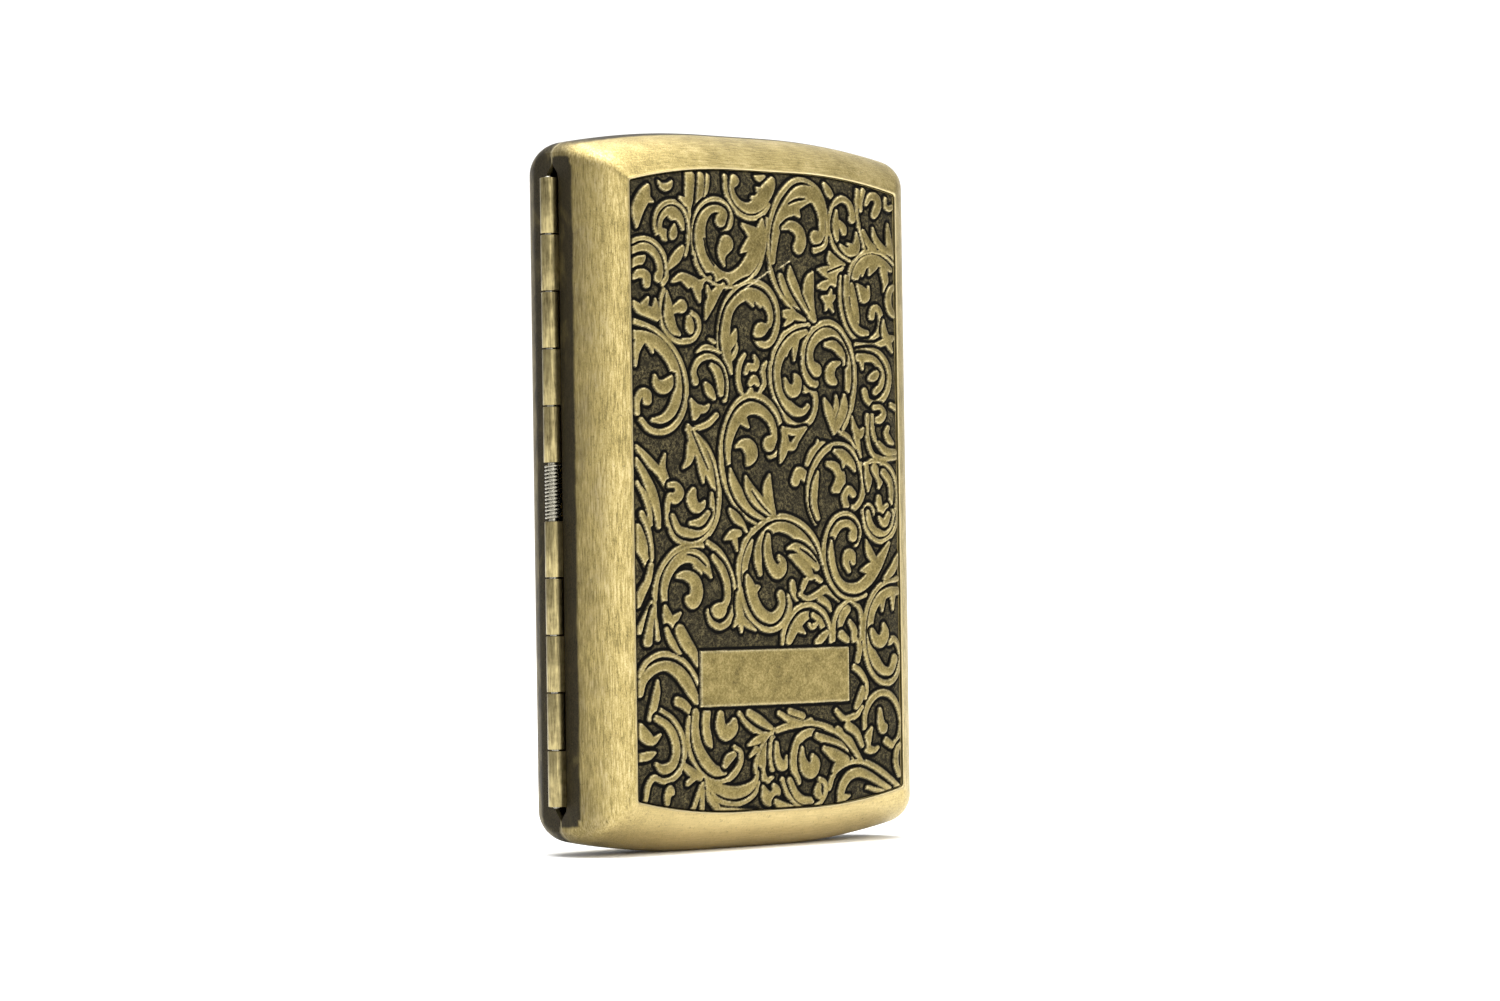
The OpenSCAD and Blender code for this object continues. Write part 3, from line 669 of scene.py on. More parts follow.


# ---------------------------------------------------------------- scroll relief

# Scrollwork, as strokes of (x, z, half width) in millimetres from the panel's middle. They are as read off
# the photo laid flat on the plane of the panel's rim, and placed() puts them on the bowed floor. The thin
# stems come first.
STEMS = [
    [(-15.2, 32.6, .25), (-14.5, 34.5, .3), (-14.4, 36.5, .35), (-15, 38.4, .35), (-16.3, 39.5, .35),
     (-17.8, 39.7, .35), (-19.3, 39.1, .35), (-20.3, 37.9, .3), (-20.5, 36.5, .3), (-20.1, 35.4, .3)],
    [(-11.1, 43.6, .35), (-11.2, 42, .35), (-11.5, 40.8, .2)],
    [(-13.5, 33, .3), (-12.9, 31.3, .3), (-11.4, 29.6, .3), (-9, 28.6, .3), (-6.5, 28.5, .3),
     (-4, 29.3, .3), (-2, 31, .3), (-.7, 33.4, .3), (-.2, 36, .3), (0, 38, .3)],
    [(-7.8, 43.7, .35), (-7.5, 41.8, .35), (-6.4, 39.8, .35), (-4.6, 38.5, .35), (-2.6, 38.2, .35),
     (-.8, 38.9, .35), (.4, 40.2, .3)],
    [(-2.2, 43.9, .15), (-1.4, 43.7, .4), (-.5, 44, .2)],
    [(.3, 32.5, .3), (.2, 35.6, .3), (.9, 38.5, .35), (2.4, 41.4, .35), (4.9, 43.5, .35),
     (7.4, 43.7, .35), (9.9, 42.3, .35), (11.1, 39.8, .35), (11.3, 36.8, .35), (10.7, 34.8, .35),
     (9, 34.1, .4)],
    [(11.9, 36.5, .3), (12.6, 34.9, .3), (13.9, 33.6, .3), (15.6, 32.9, .25)],
    [(17.2, 42.8, .3), (17, 40.5, .3), (17.4, 38, .3), (18.1, 35.8, .3), (18.8, 34.2, .2)],
    [(18.3, 42.8, .4), (17.9, 41.2, .4), (17.9, 40, .2)],
    [(22.7, 41.9, .2), (22.6, 41, .3), (23.3, 40.5, .35), (24.2, 40.8, .3)],
    [(15.3, 28, .3), (15.3, 30, .3), (16, 32, .3), (17.5, 33.6, .35), (19.6, 34.3, .4), (21.8, 34, .35),
     (24.3, 32.6, .3)],
    [(.3, 32.5, .3), (.8, 30.4, .3), (1.9, 28.4, .3), (3.4, 26.7, .3), (4.9, 25.4, .3)],
    [(-24.6, 34.2, .3), (-22.8, 34.6, .3), (-20.9, 34.2, .35), (-19.4, 33, .35), (-18.6, 31.2, .35),
     (-18.6, 29.6, .35), (-19.3, 28.7, .4)],
    [(-19, 27.8, .3), (-19.7, 26, .3), (-19.7, 24, .3), (-19, 22.4, .3), (-17.6, 21.2, .35),
     (-15.9, 20.8, .35), (-14, 21.2, .35), (-12.9, 22.6, .35), (-13.1, 24, .35), (-14.1, 24.6, .4)],
    [(-24.6, 23.4, .3), (-22.6, 22.9, .3), (-20.4, 22, .35), (-18.2, 20.4, .35), (-16.4, 18.2, .35),
     (-15.4, 15.6, .35), (-15.4, 13, .35), (-16.2, 10.8, .35), (-17.8, 9.1, .35), (-19.9, 8.4, .35),
     (-22, 8.8, .35), (-23.6, 10.2, .3)],
    [(-6.9, 18.6, .4), (-6.1, 20, .3), (-6, 21.4, .1)],
    [(-13.2, 19.4, .1), (-11.8, 20, .35), (-10.2, 19.8, .35), (-8.8, 19.4, .2)],
    [(-11, 21.2, .1), (-9.9, 20.8, .3)],
    [(-4.5, 19.2, .2), (-5.4, 18, .35), (-5.8, 16.2, .35), (-5.4, 14.4, .35), (-4.6, 13.2, .3)],
    [(-4.2, 13.6, .3), (-3.4, 14.4, .4), (-3.2, 13.4, .3)],
    [(-2.2, 13.2, .3), (-1.6, 14.4, .4), (-.9, 15.6, .35), (-1.2, 17.2, .35), (-.4, 18.2, .2)],
    [(.4, 18, .3), (1.2, 20, .3), (2.8, 22, .35), (5, 23.2, .35), (7.6, 23.7, .3)],
    [(6.4, 18.4, .35), (6.6, 20.4, .35), (7.7, 22.3, .35), (9.6, 23.6, .4), (11.8, 23.9, .4),
     (13.8, 22.9, .35), (15.3, 21, .35), (16.1, 18.6, .35), (16.2, 16, .35), (15.8, 13.4, .35),
     (15, 11, .35), (13.8, 9.2, .3)],
    [(23.2, 12.6, .3), (24.2, 12.2, .4)],
    [(-15.3, 8.8, .3), (-13.4, 9, .3), (-11.4, 9.6, .35), (-9.8, 10.8, .3)],
    [(-24.4, 1.6, .2), (-23, 0, .4), (-22.2, -2, .4), (-22, -4, .3)],
    [(-15, 8.9, .3), (-12.8, 7.6, .3), (-11, 5.4, .3), (-9.9, 2.6, .3), (-9.6, -.4, .35), (-10, -3, .35)],
    [(-18.9, -4, .3), (-17.8, -5.8, .35), (-15.8, -6.7, .35), (-13.6, -6.6, .35), (-11.6, -5.4, .35),
     (-10.2, -3.4, .35), (-9.6, -.6, .35)],
    [(17.8, 4.2, .3), (20.3, 4.6, .35), (22.8, 3.6, .35), (24, 1.5, .35), (24.2, -1, .35),
     (23.4, -3.1, .3)],
    [(18.6, 11, .3), (18.5, 8.6, .3), (18.9, 6.6, .3), (19.8, 5.4, .3), (21.4, 5, .35), (24.4, 5.2, .3)],
    [(19.6, 11, .3), (19.6, 8.8, .3), (20.4, 7, .3)],
    [(13, 8.8, .3), (14.8, 8, .3), (16.2, 6.4, .3)],
    [(-23.6, -2.6, .3), (-22.6, -4.6, .4), (-22, -7, .3), (-21.9, -9, .3)],
    [(-21, -19.6, .3), (-21.4, -17, .3), (-21.5, -14.2, .35), (-21, -11.6, .35), (-19.6, -9.4, .35),
     (-17.6, -7.8, .4), (-15.2, -7.1, .4), (-12.8, -7, .4)],
    [(9.6, -9.8, .3), (8.8, -7.4, .35), (7, -5.2, .4), (4.6, -3.8, .4), (1.8, -3.2, .4), (-1.2, -3.8, .4),
     (-3.8, -5.4, .4), (-5.6, -8, .4), (-6.2, -11, .4), (-5.8, -14, .4), (-4.4, -16.8, .4),
     (-2.2, -18.4, .4), (.2, -18.7, .4), (2.2, -17.6, .4), (3.2, -15.8, .35), (3, -14.2, .35)],
    [(5.4, -13.8, .3), (6.4, -12, .4), (8, -11.6, .4), (9.2, -12.2, .3)],
    [(17.3, -2.4, .3), (17.8, -4.4, .3), (19, -6, .35), (20.8, -6.7, .35), (22.6, -6, .35),
     (23.8, -4.4, .35), (24.2, -2.4, .3)],
    [(24.6, -12, .3), (22.2, -12.4, .35), (19.9, -13.6, .35), (18.2, -15.8, .35), (17.4, -18.6, .35),
     (17.4, -21.4, .35), (18.2, -24.2, .35), (19.8, -26.2, .35), (21.8, -26.8, .35), (23.4, -25.8, .4),
     (24.3, -23.6, .4), (24, -21.6, .4), (23.1, -20.6, .4), (22.3, -21, .4)],
    [(1.8, -20.8, .3), (2.2, -18.8, .35), (3.6, -16.8, .35), (5.6, -15.6, .4), (7.6, -15.5, .4),
     (9.4, -16.5, .4), (10.6, -18.4, .35), (10.9, -20.6, .3)],
    [(8.4, -18, .4), (7.4, -18.6, .3), (6.8, -18.1, .2)],
    [(11.4, -20.4, .3), (11.6, -18, .35), (12.8, -16, .35), (14.4, -15, .35)],
    [(14.6, -15, .3), (16.4, -16, .3), (16.9, -18, .3), (16.6, -20.4, .3)],
    [(-24.6, -24.6, .3), (-23, -22.8, .35), (-20.8, -21.8, .35), (-18.4, -21.9, .35), (-16.2, -23, .35),
     (-14.4, -25, .35), (-13.2, -27.2, .3)],
    [(-20.6, -29.4, .3), (-18.6, -30.6, .35), (-17.1, -32.6, .4), (-16.6, -34.8, .4), (-17, -37, .4),
     (-18.4, -38.4, .4), (-20.2, -38.9, .4), (-22, -38.4, .35), (-23.2, -39.6, .3), (-23.6, -41.6, .3)],
    [(-13.4, -39.4, .2), (-14.2, -41.2, .3), (-15, -43, .3)],
    [(-13.2, -39.4, .2), (-13.4, -41.4, .3), (-13.4, -43.4, .3)],
    [(-12.8, -39.8, .2), (-12, -41.6, .4), (-10.6, -43, .4)],
    [(-15.6, -30.4, .3), (-15.9, -32.8, .35), (-15.5, -35.2, .35), (-14.2, -37.4, .35), (-12.2, -39, .4),
     (-9.9, -39.4, .4), (-7.8, -38.6, .4), (-6.4, -37, .35), (-6.3, -35.6, .35), (-7.4, -34.9, .35)],
    [(-6.4, -30.2, .3), (-4.8, -31.8, .4), (-2.6, -33, .4), (-.4, -33.2, .3)],
    [(1, -30.4, .3), (3, -31.4, .4), (5.4, -32, .4), (7, -31.6, .3)],
    [(3, -30.2, .4), (5.4, -30.9, .4)],
    [(0, -32.6, .3), (-1.8, -34, .35), (-3.2, -36.2, .35), (-3.6, -38.4, .35)],
    [(-12.6, -39.8, .3), (-10.8, -41.6, .35), (-8.4, -42.4, .35), (-6, -42.4, .35), (-4, -41.4, .35),
     (-3, -39.8, .3)],
    [(-10.8, -43.2, .3), (-7, -43.6, .3), (-3.6, -44, .3)],
    [(.3, -32.8, .35), (2.4, -32.3, .4), (5.7, -32, .4), (9, -32.4, .4), (12, -33.6, .4), (14.9, -36, .4),
     (16.5, -37.9, .3)],
    [(1.4, -39.6, .3), (2.4, -41.6, .35), (4, -43.2, .35), (6.2, -43.9, .35), (8.4, -43.2, .4),
     (9.5, -41.6, .4), (9.3, -40.4, .4), (8.4, -40, .4)],
    [(10.2, -41.2, .3), (11, -39.4, .35), (12.8, -38.2, .4), (15, -37.7, .4), (17.4, -38, .4),
     (19.8, -39, .4), (22, -40.4, .4), (24.2, -42, .3)],
    [(17.6, -41.4, .2), (19.6, -41.8, .35), (21.6, -42.2, .2)],
    [(15.6, -20, .3), (16.4, -21.6, .4), (16, -23.4, .4)],
    [(15.4, -24.4, .4), (16.6, -25.2, .4), (17.6, -26.8, .35), (17.4, -28.8, .35)],
    [(11.8, -30.4, .3), (13.4, -31.6, .4), (15.4, -31.2, .4), (16.8, -30, .35)],
]

# The leaves. Strokes in one leaf are raised together, and a cut is engraved into the leaf before it.
LEAVES = [
    ("leaf", [(-21.8, 41.8, .25), (-22.4, 40.4, .9), (-23.5, 38.6, .8), (-23.8, 36.2, .1)],
     [(-22.2, 40.2, .6), (-20.8, 39.7, .1)]),
    ("leaf", [(-19.9, 42.5, .1), (-19.3, 41.9, .35), (-18.6, 41.75, .45), (-17.9, 42, .35),
     (-17.5, 42.6, .1)]),
    ("leaf", [(-18.7, 35.2, .75), (-19.6, 36, .35), (-19.4, 37.4, .3), (-18.2, 38.5, .45),
     (-16.9, 38.4, .6), (-15.9, 37.4, .5), (-15.5, 36.2, .2)], [(-17.6, 38, .5), (-16, 36.9, .1)]),
    ("leaf", [(-17, 36.6, .15), (-17.2, 35.6, .6), (-17.4, 35.2, .5)]),
    ("leaf", [(-14.3, 43.6, .75), (-14.3, 41, .7), (-14, 38.5, .45), (-13.9, 36, .35)],
     [(-15.9, 40.4, .2), (-14.8, 39.8, .5)]),
    ("leaf", [(-12.3, 43.6, .5), (-12.3, 41.5, .5), (-12.6, 40, .4), (-13.3, 38.6, .2)]),
    ("leaf", [(-13.5, 33, .3), (-13.6, 36, .3), (-12.8, 38.6, .3), (-11.2, 40, .3), (-9.3, 40.4, .35),
     (-7.6, 39.7, .35), (-6.7, 38.2, .35), (-7.1, 36.9, .4), (-8.2, 36.7, .5)]),
    ("leaf", [(-8.6, 37.6, .85), (-8, 38.6, .5), (-9.2, 39.2, .4), (-10.8, 38.8, .5), (-12, 37.4, .7),
     (-12.4, 35.4, .85), (-12, 33.2, .9), (-10.8, 31.2, .9), (-9, 29.9, .85), (-7, 29.6, .8),
     (-5, 30.4, .9), (-3.2, 32, 1.1), (-1.9, 34.2, 1.2), (-1.2, 36.5, .7), (-.9, 38, .15)],
     [(-3, 34.6, .9), (-4.9, 33.4, .1)], [(-2.6, 36, .9), (-4.6, 37.2, .15)]),
    ("cut", [(-11.7, 35, .15), (-11.2, 33.2, .2), (-10, 31.4, .15)]),
    ("leaf", [(-7.6, 34.4, 1.15), (-8.3, 33.4, .8), (-8.4, 32.4, .4), (-8, 31.4, .1)]),
    ("leaf", [(-6, 43.3, .7), (-6.5, 42.3, .35), (-6.1, 41, .4), (-4.9, 39.9, .5), (-3.2, 39.5, .7),
     (-1.6, 40.2, 1), (-.4, 41.5, 1.1), (.6, 42.8, .8), (1, 43.6, .4)], [(-1.5, 40.6, .7),
     (-2.8, 41, .1)], [(-.8, 41.6, .8), (-1.9, 42.3, .1)]),
    ("leaf", [(.9, 32.3, .4), (1.3, 34.8, .5), (2, 37.3, .7), (3.6, 39.3, 1.1), (6.1, 41.4, 1.4),
     (8.6, 41.8, 1), (10.3, 39.8, .8), (10.5, 37.3, .6), (9.9, 35.8, .5), (9.1, 35.9, .9)], [(5, 40, 1),
     (6.1, 38.7, .1)]),
    ("cut", [(4, 40.4, .12), (5.6, 41, .2), (7.2, 41.2, .1)]),
    ("leaf", [(3, 37, .2), (4.5, 37.4, .6), (6, 36.6, .8), (6.3, 35.2, .9), (5.9, 34.4, .9)]),
    ("leaf", [(10.9, 43.4, .3), (11.6, 42.5, .6), (12.4, 41.6, .3)]),
    ("leaf", [(11.9, 36.5, .3), (11.9, 38.8, .3), (12.8, 40.7, .35), (14.2, 41.5, .4), (15.6, 40.9, .4),
     (16.2, 39.6, .45), (16.2, 38.8, .6)]),
    ("leaf", [(13.2, 39.7, .2), (13, 38, .5), (13.1, 36.4, .4), (13.4, 35.4, .1)], [(13.6, 38.2, .3),
     (14.4, 37.4, .55), (14.6, 36.8, .4)]),
    ("leaf", [(13.9, 34.9, .2), (15.2, 34.1, .5), (16.6, 34.4, .7), (17, 35.4, .5), (17, 36.8, .1)],
     [(16.6, 34.6, .5), (15.3, 35.2, .1)]),
    ("leaf", [(18.9, 41, .25), (19.6, 42, .4), (20.8, 42, .6), (21.2, 41, .6), (20.8, 40, .6),
     (20.5, 39.5, .45)]),
    ("leaf", [(18.3, 37, .3), (19.2, 35.5, .5), (20.3, 34.6, .5)], [(20.2, 37.6, .1), (20.6, 36.2, .4),
     (21.8, 34.9, .5), (23.6, 34.1, .3)], [(23.1, 38.3, .1), (23.2, 36.8, .5), (23.5, 35, .6),
     (24.2, 33.6, .3)]),
    ("leaf", [(16.3, 27.5, .35), (16.4, 29.6, .5), (17, 31.4, .7), (18.6, 32.7, .8), (20.4, 33, .8),
     (22.2, 32.6, .5), (23.6, 31.8, .3)], [(18.2, 32.2, .6), (18, 30.8, .1)], [(20.2, 32.4, .8),
     (19.4, 31, .1)], [(22.2, 31.6, .7), (22.5, 30, .5), (22.2, 28.6, .1)]),
    ("leaf", [(17, 29.4, .2), (17.6, 28.6, .8), (18.3, 28, 1), (19, 28.4, .4), (19.2, 29.2, .15)]),
    ("leaf", [(11.8, 33.9, .1), (12.2, 32.8, .8), (13.2, 32.4, .6), (14.6, 32.3, .1)], [(9.6, 31.4, .1),
     (10.8, 31.2, .6), (12.2, 31, .9), (13.4, 31.4, .5), (14.3, 31.8, .1)], [(9.5, 29, .2),
     (10.8, 29.2, .6), (12.4, 29.6, .6), (13.2, 30.2, .2)]),
    ("cut", [(11.3, 31.1, .12), (14, 32, .12)]),
    ("leaf", [(4.2, 31.6, .1), (4.4, 30, .7), (5.4, 28, .8), (6.8, 26.2, .7), (8.2, 24.6, .4)],
     [(8.5, 31, .1), (7.8, 29.6, .8), (7.6, 27.6, .9), (8.1, 25.6, .6), (8.6, 24.4, .4)]),
    ("cut", [(5.9, 29.4, .12), (6.5, 27.6, .15), (7.7, 25.6, .1)]),
    ("leaf", [(2.4, 30.2, .4), (3.4, 28, .5), (4.9, 26.2, .4), (6.6, 24.6, .2)]),
    ("leaf", [(2.3, 25, .1), (3.6, 25, .6), (5, 24.8, .5), (6.8, 24.3, .2)], [(3, 23.4, .1),
     (4.2, 24.4, .5)]),
    ("leaf", [(-24.5, 33, .4), (-22.6, 33.5, .5), (-21, 33, .5), (-20, 31.8, .45), (-19.7, 30.4, .45),
     (-20.1, 29.4, .6)]),
    ("leaf", [(-24.6, 31.2, .5), (-23.4, 31.6, .6), (-22.4, 32.2, .1)]),
    ("leaf", [(-24.5, 29.4, .3), (-23.4, 29.9, .5), (-22.2, 29.6, .6), (-22.1, 28.5, .5)]),
    ("leaf", [(-15.6, 33.6, .3), (-16.6, 32.4, .7), (-17.6, 31.4, .5), (-18.3, 30.6, .1)]),
    ("leaf", [(-17.4, 29, .2), (-15.8, 29.6, .5), (-14, 29, .7), (-12.6, 28.6, .6), (-11.4, 29.2, .4),
     (-10.6, 29.6, .2)], [(-13.2, 28.6, .7), (-12.9, 27.4, .5), (-12.6, 26.3, .1)], [(-15.2, 29.2, .5),
     (-14.6, 28.2, .1)]),
    ("leaf", [(-8.2, 28.8, .2), (-9.6, 27.6, .6), (-10.8, 26, .7), (-11.6, 24, .1)], [(-10.6, 27, .5),
     (-11.2, 28.4, .2)]),
    ("leaf", [(-14.6, 23.9, .45), (-14.5, 23, .7), (-14.4, 22.4, .5)]),
    ("leaf", [(-18.6, 27.6, .1), (-18.3, 26, .5), (-18.2, 24.2, .8), (-17.6, 22.6, .7),
     (-16.4, 21.8, .2)], [(-17.6, 25, .4), (-16.6, 25.4, .6), (-15.9, 25.6, .85)]),
    ("leaf", [(-24.5, 25.8, .3), (-23.2, 25, .6), (-21.6, 24.6, .7), (-20.4, 23.8, .3)],
     [(-22.6, 25.6, .5), (-21.9, 26.6, .1)], [(-20.6, 26.4, .1), (-20.6, 25.2, .5), (-20.4, 24, .3)]),
    ("leaf", [(-24.5, 21.6, .5), (-22.6, 21.3, .7), (-20.6, 20.6, .8), (-18.8, 19.2, .8),
     (-17.5, 17.4, .75), (-16.9, 15.2, .7), (-17.1, 13, .75), (-18.1, 11.2, .7), (-19.6, 10.2, .5),
     (-21.4, 10, .2)], [(-23.4, 21, .7), (-24.2, 19.4, .4), (-24.4, 17.4, .1)], [(-21.8, 20.8, .6),
     (-21.2, 19.2, .1)], [(-19.2, 19.6, .6), (-18.4, 18.4, .1)]),
    ("cut", [(-17.3, 16.4, .12), (-17.6, 14.4, .15), (-18.6, 12.4, .12)]),
    ("leaf", [(-20.9, 16, .2), (-20.6, 15, .6), (-19.6, 14.5, .85), (-18.6, 14.9, .8),
     (-17.9, 15.9, .2)]),
    ("leaf", [(-24.2, 11, .3), (-24.2, 12.6, .35), (-23.4, 13.7, .45), (-22.4, 13.5, .65),
     (-22.3, 12.7, .6)]),
    ("leaf", [(-8.9, 17.6, .3), (-9.2, 20, .3), (-9, 23, .3), (-8.2, 25.6, .35), (-6.6, 27.6, .35),
     (-4.4, 28.9, .35), (-2, 29.2, .35), (0, 28.4, .35), (1.3, 26.6, .4), (1.7, 24.4, .4),
     (1.2, 22.2, .4), (0, 20.8, .4), (-1.4, 20.7, .4), (-2.3, 21.6, .45)]),
    ("leaf", [(-7, 16.6, .15), (-7.6, 18.4, .6), (-8, 20.6, .75), (-7.9, 23, .7), (-7.2, 25.2, .6),
     (-5.6, 26.8, .6), (-3.6, 27.6, .8), (-1.6, 27.2, .8), (-.2, 26.2, .6), (.4, 24.6, .4),
     (.1, 23.4, .35)], [(-2.2, 22.2, .5), (-1.5, 22.7, .9), (-.6, 23, .5)], [(-7.4, 20.4, .6),
     (-6.6, 21.4, .6), (-6.1, 22.6, .1)], [(-3.4, 27, .6), (-2.8, 26, .1)], [(-1.8, 26.8, .6),
     (-1.4, 25.9, .1)]),
    ("leaf", [(-13.6, 15.4, .5), (-13.9, 16.8, .35), (-13, 18.2, .35), (-11.4, 18.8, .35),
     (-9.8, 18.4, .35), (-8.5, 17, .35), (-8, 15, .35), (-8.3, 13, .35)]),
    ("leaf", [(-10.6, 17.6, .3), (-9.6, 16.8, .6), (-9.1, 15.4, .6), (-9, 13.8, .4)]),
    ("leaf", [(-11.7, 15, .3), (-11.1, 14.2, .65), (-10.3, 13.2, .3)]),
    ("leaf", [(-2.7, 19, .2), (-2.3, 18.2, .4), (-2.8, 17.4, .5), (-3.8, 17.6, .35), (-4.3, 16.8, .3)]),
    ("leaf", [(-3.6, 15.2, .3), (-2.8, 15.8, .55), (-2.2, 15.2, .3)]),
    ("leaf", [(.4, 18, .3), (.3, 16, .35), (.9, 13.8, .35), (2.1, 11.6, .35), (3.9, 9.9, .35),
     (5.8, 9.4, .35), (7.6, 10.2, .35), (8.6, 12, .35), (8.6, 13.8, .4), (7.6, 14.8, .5),
     (6.8, 14.6, .5)]),
    ("leaf", [(7, 22.6, .3), (5, 21.8, .6), (3.2, 20.4, .7), (1.9, 18.6, .6), (1.5, 16.6, .5),
     (1.9, 14.6, .6), (3, 12.8, .7), (4.6, 11.6, .7), (6.2, 11.4, .4), (7.2, 12.2, .3)], [(3.4, 20.6, .6),
     (3.2, 19.2, .1)], [(5.2, 21.8, .5), (4.9, 20.2, .4), (4.7, 18.6, .1)], [(2.9, 13.4, .5),
     (4, 13.1, .1)]),
    ("leaf", [(3, 15.9, .2), (3.4, 14.9, .5), (4.2, 14.3, .8), (5, 14.6, .8), (5.3, 15.8, .6),
     (4.9, 16.4, .3)]),
    ("leaf", [(6.4, 18.4, .35), (6.8, 16.8, .4), (7.6, 15.7, .5), (8.6, 15.5, .6)]),
    ("leaf", [(8.9, 17.3, .9), (7.9, 18.2, .6), (7.8, 20, .5), (8.8, 21.6, .6), (10.6, 22.5, .7),
     (12.4, 22.2, .6), (13.8, 20.8, .5), (14.8, 18.8, .5), (15, 16.6, .5), (14.8, 14.6, .4)]),
    ("leaf", [(10.8, 20.9, .3), (12.4, 20.8, .6), (13.8, 19.6, .5), (14.2, 18.2, .1)]),
    ("leaf", [(13.4, 18.4, .15), (12.2, 18, .5), (11.5, 17.1, .8), (11.6, 16.2, .8), (12.4, 15.7, .4)]),
    ("leaf", [(10.4, 13.2, .2), (11.2, 11.6, .7), (11.9, 9.8, .6), (12.1, 8.4, .1)], [(14.2, 13.8, .2),
     (14, 12, .7), (13, 10, .6), (12.2, 8.6, .2)], [(12.6, 13.8, .1), (12.6, 12.4, .4), (12.2, 11, .2)]),
    ("leaf", [(10.2, 27.6, .1), (11.4, 27.2, .6), (12.8, 27.8, .1)], [(11.4, 27, .6), (12.3, 25.6, .1)],
     [(11.3, 27, .5), (10.9, 25.8, .1)], [(12, 28.6, .1), (11.7, 27.6, .4)]),
    ("leaf", [(14, 30.4, .3), (13.7, 28, .3), (14, 25.6, .3), (15, 23.4, .3), (16.6, 22, .35),
     (18.4, 21.5, .35), (20.2, 22, .4), (21.3, 23.4, .4), (21.5, 25, .4), (20.9, 26.2, .4),
     (20, 26.1, .4), (19.7, 25.1, .5)]),
    ("leaf", [(14.9, 30.4, .35), (14.8, 28, .35), (15.2, 25.8, .4), (16.1, 24, .5), (17.4, 22.9, .5),
     (18.8, 22.7, .3)], [(15.9, 29.4, .3), (16.2, 27.4, .6), (16.6, 25.4, .6), (17.1, 24.1, .1)]),
    ("leaf", [(24.5, 29.6, .2), (23.4, 28.8, .5), (23, 27.4, .6), (23.4, 26, .6), (24.3, 25.4, .4)]),
    ("leaf", [(22, 24.6, .1), (22.1, 23, .5), (22.8, 21.6, .6), (23.6, 20.2, .2)], [(24.2, 22.3, .1),
     (23.2, 21.9, .5), (21.8, 21.4, .4), (20.2, 20.9, .3)], [(16.6, 21, .3), (18.4, 20.9, .3),
     (20.4, 20.9, .35), (22, 21.3, .2)]),
    ("leaf", [(16.8, 20, .3), (18.6, 20.2, .3), (20.6, 20, .4), (22.2, 18.8, .4), (23, 17, .4),
     (22.7, 15, .4), (21.6, 13.4, .4), (20, 12.7, .4), (18.6, 13.2, .4), (18.1, 14.4, .5)]),
    ("leaf", [(17, 19.2, .5), (18.4, 19.2, .5), (19.9, 19, .4), (21.1, 18, .4), (21.6, 16.6, .4),
     (21.2, 15.2, .4), (20.2, 14.4, .4)], [(17.6, 19, .5), (17.8, 17.6, .1)]),
    ("leaf", [(19.2, 16.3, .3), (20, 16.6, .6), (20.5, 17, .4)]),
    ("leaf", [(19.9, 12.2, .3), (21.2, 12.2, .3), (21.8, 11.4, .4), (21.2, 10.6, .5), (20.5, 10.4, .4)]),
    ("leaf", [(22.6, 9.4, .25), (22.2, 8.6, .4), (22.8, 7.6, .5), (23.4, 7.2, .3)]),
    ("leaf", [(-14.4, 12.8, .2), (-13.6, 11.4, .7), (-13.9, 10.4, .3)], [(-13.4, 11.6, .6),
     (-12, 11.6, .4), (-11.2, 12.2, .1)]),
    ("leaf", [(-3, -3.9, .3), (-5.4, -2.6, .3), (-7.4, -.4, .3), (-8.7, 2.2, .35), (-9.1, 5, .35),
     (-8.7, 8, .35), (-7.4, 10.9, .35), (-5.4, 12.9, .4), (-3, 13.6, .4), (-.8, 13, .4), (1, 11.4, .4),
     (2, 9.2, .4), (2, 7.2, .4), (1.2, 5.8, .4), (0, 5.4, .5)]),
    ("leaf", [(-.2, 6.9, 1), (.7, 7.8, .5), (.6, 9.2, .5), (-.3, 10.6, .6), (-1.9, 11.6, .7),
     (-3.8, 11.8, .8), (-5.6, 10.8, .8), (-6.9, 9.1, .7), (-7.7, 7, .5), (-7.8, 5, .3), (-7.6, 3.4, .15)],
     [(-5.2, 10.4, .8), (-4, 9.2, .1)]),
    ("leaf", [(-6.3, 6.5, .15), (-5.2, 6.9, .5), (-4, 6.5, 1), (-3.5, 5.6, 1.05), (-3.9, 4.6, .6),
     (-4.3, 4.1, .2)]),
    ("leaf", [(-7.4, 3.4, .1), (-7, 1.8, .6), (-5.8, -.2, .8), (-4, -1.9, .7), (-2, -3, .5),
     (0, -3.6, .2)]),
    ("leaf", [(-4.6, 2.4, .1), (-4, .8, .7), (-2.6, -.8, .9), (-.8, -2.2, .6), (.4, -3.2, .3)],
     [(-.2, 2.6, .1), (-.6, 1, .7), (-.4, -1, .8), (.4, -2.8, .4)]),
    ("cut", [(-3.6, .4, .1), (-2, -1.4, .14), (-.2, -2.8, .1)]),
    ("leaf", [(-24.4, 6.4, .2), (-22.4, 4.6, .6), (-20.6, 3.2, .5), (-19, 1.4, .6), (-18.1, -.2, .2)],
     [(-19.3, 5.4, .1), (-19.8, 3.6, .5), (-19.2, 2, .5)]),
    ("leaf", [(-24.6, 4.6, .3), (-23, 2.6, .5), (-21.6, 0, .7), (-20.8, -2.6, .5), (-20.6, -4.4, .3)]),
    ("leaf", [(-15, 9.2, .3), (-14, 7.4, .9), (-12.8, 5.6, 1), (-11.6, 3.6, .8), (-10.8, 1.6, .4),
     (-10.4, 0, .2)], [(-14.4, 6.6, .8), (-15, 4.6, .5), (-16, 3.6, .1)], [(-12.8, 4.8, .7),
     (-12.6, 2.8, .4), (-12.4, 1.6, .1)]),
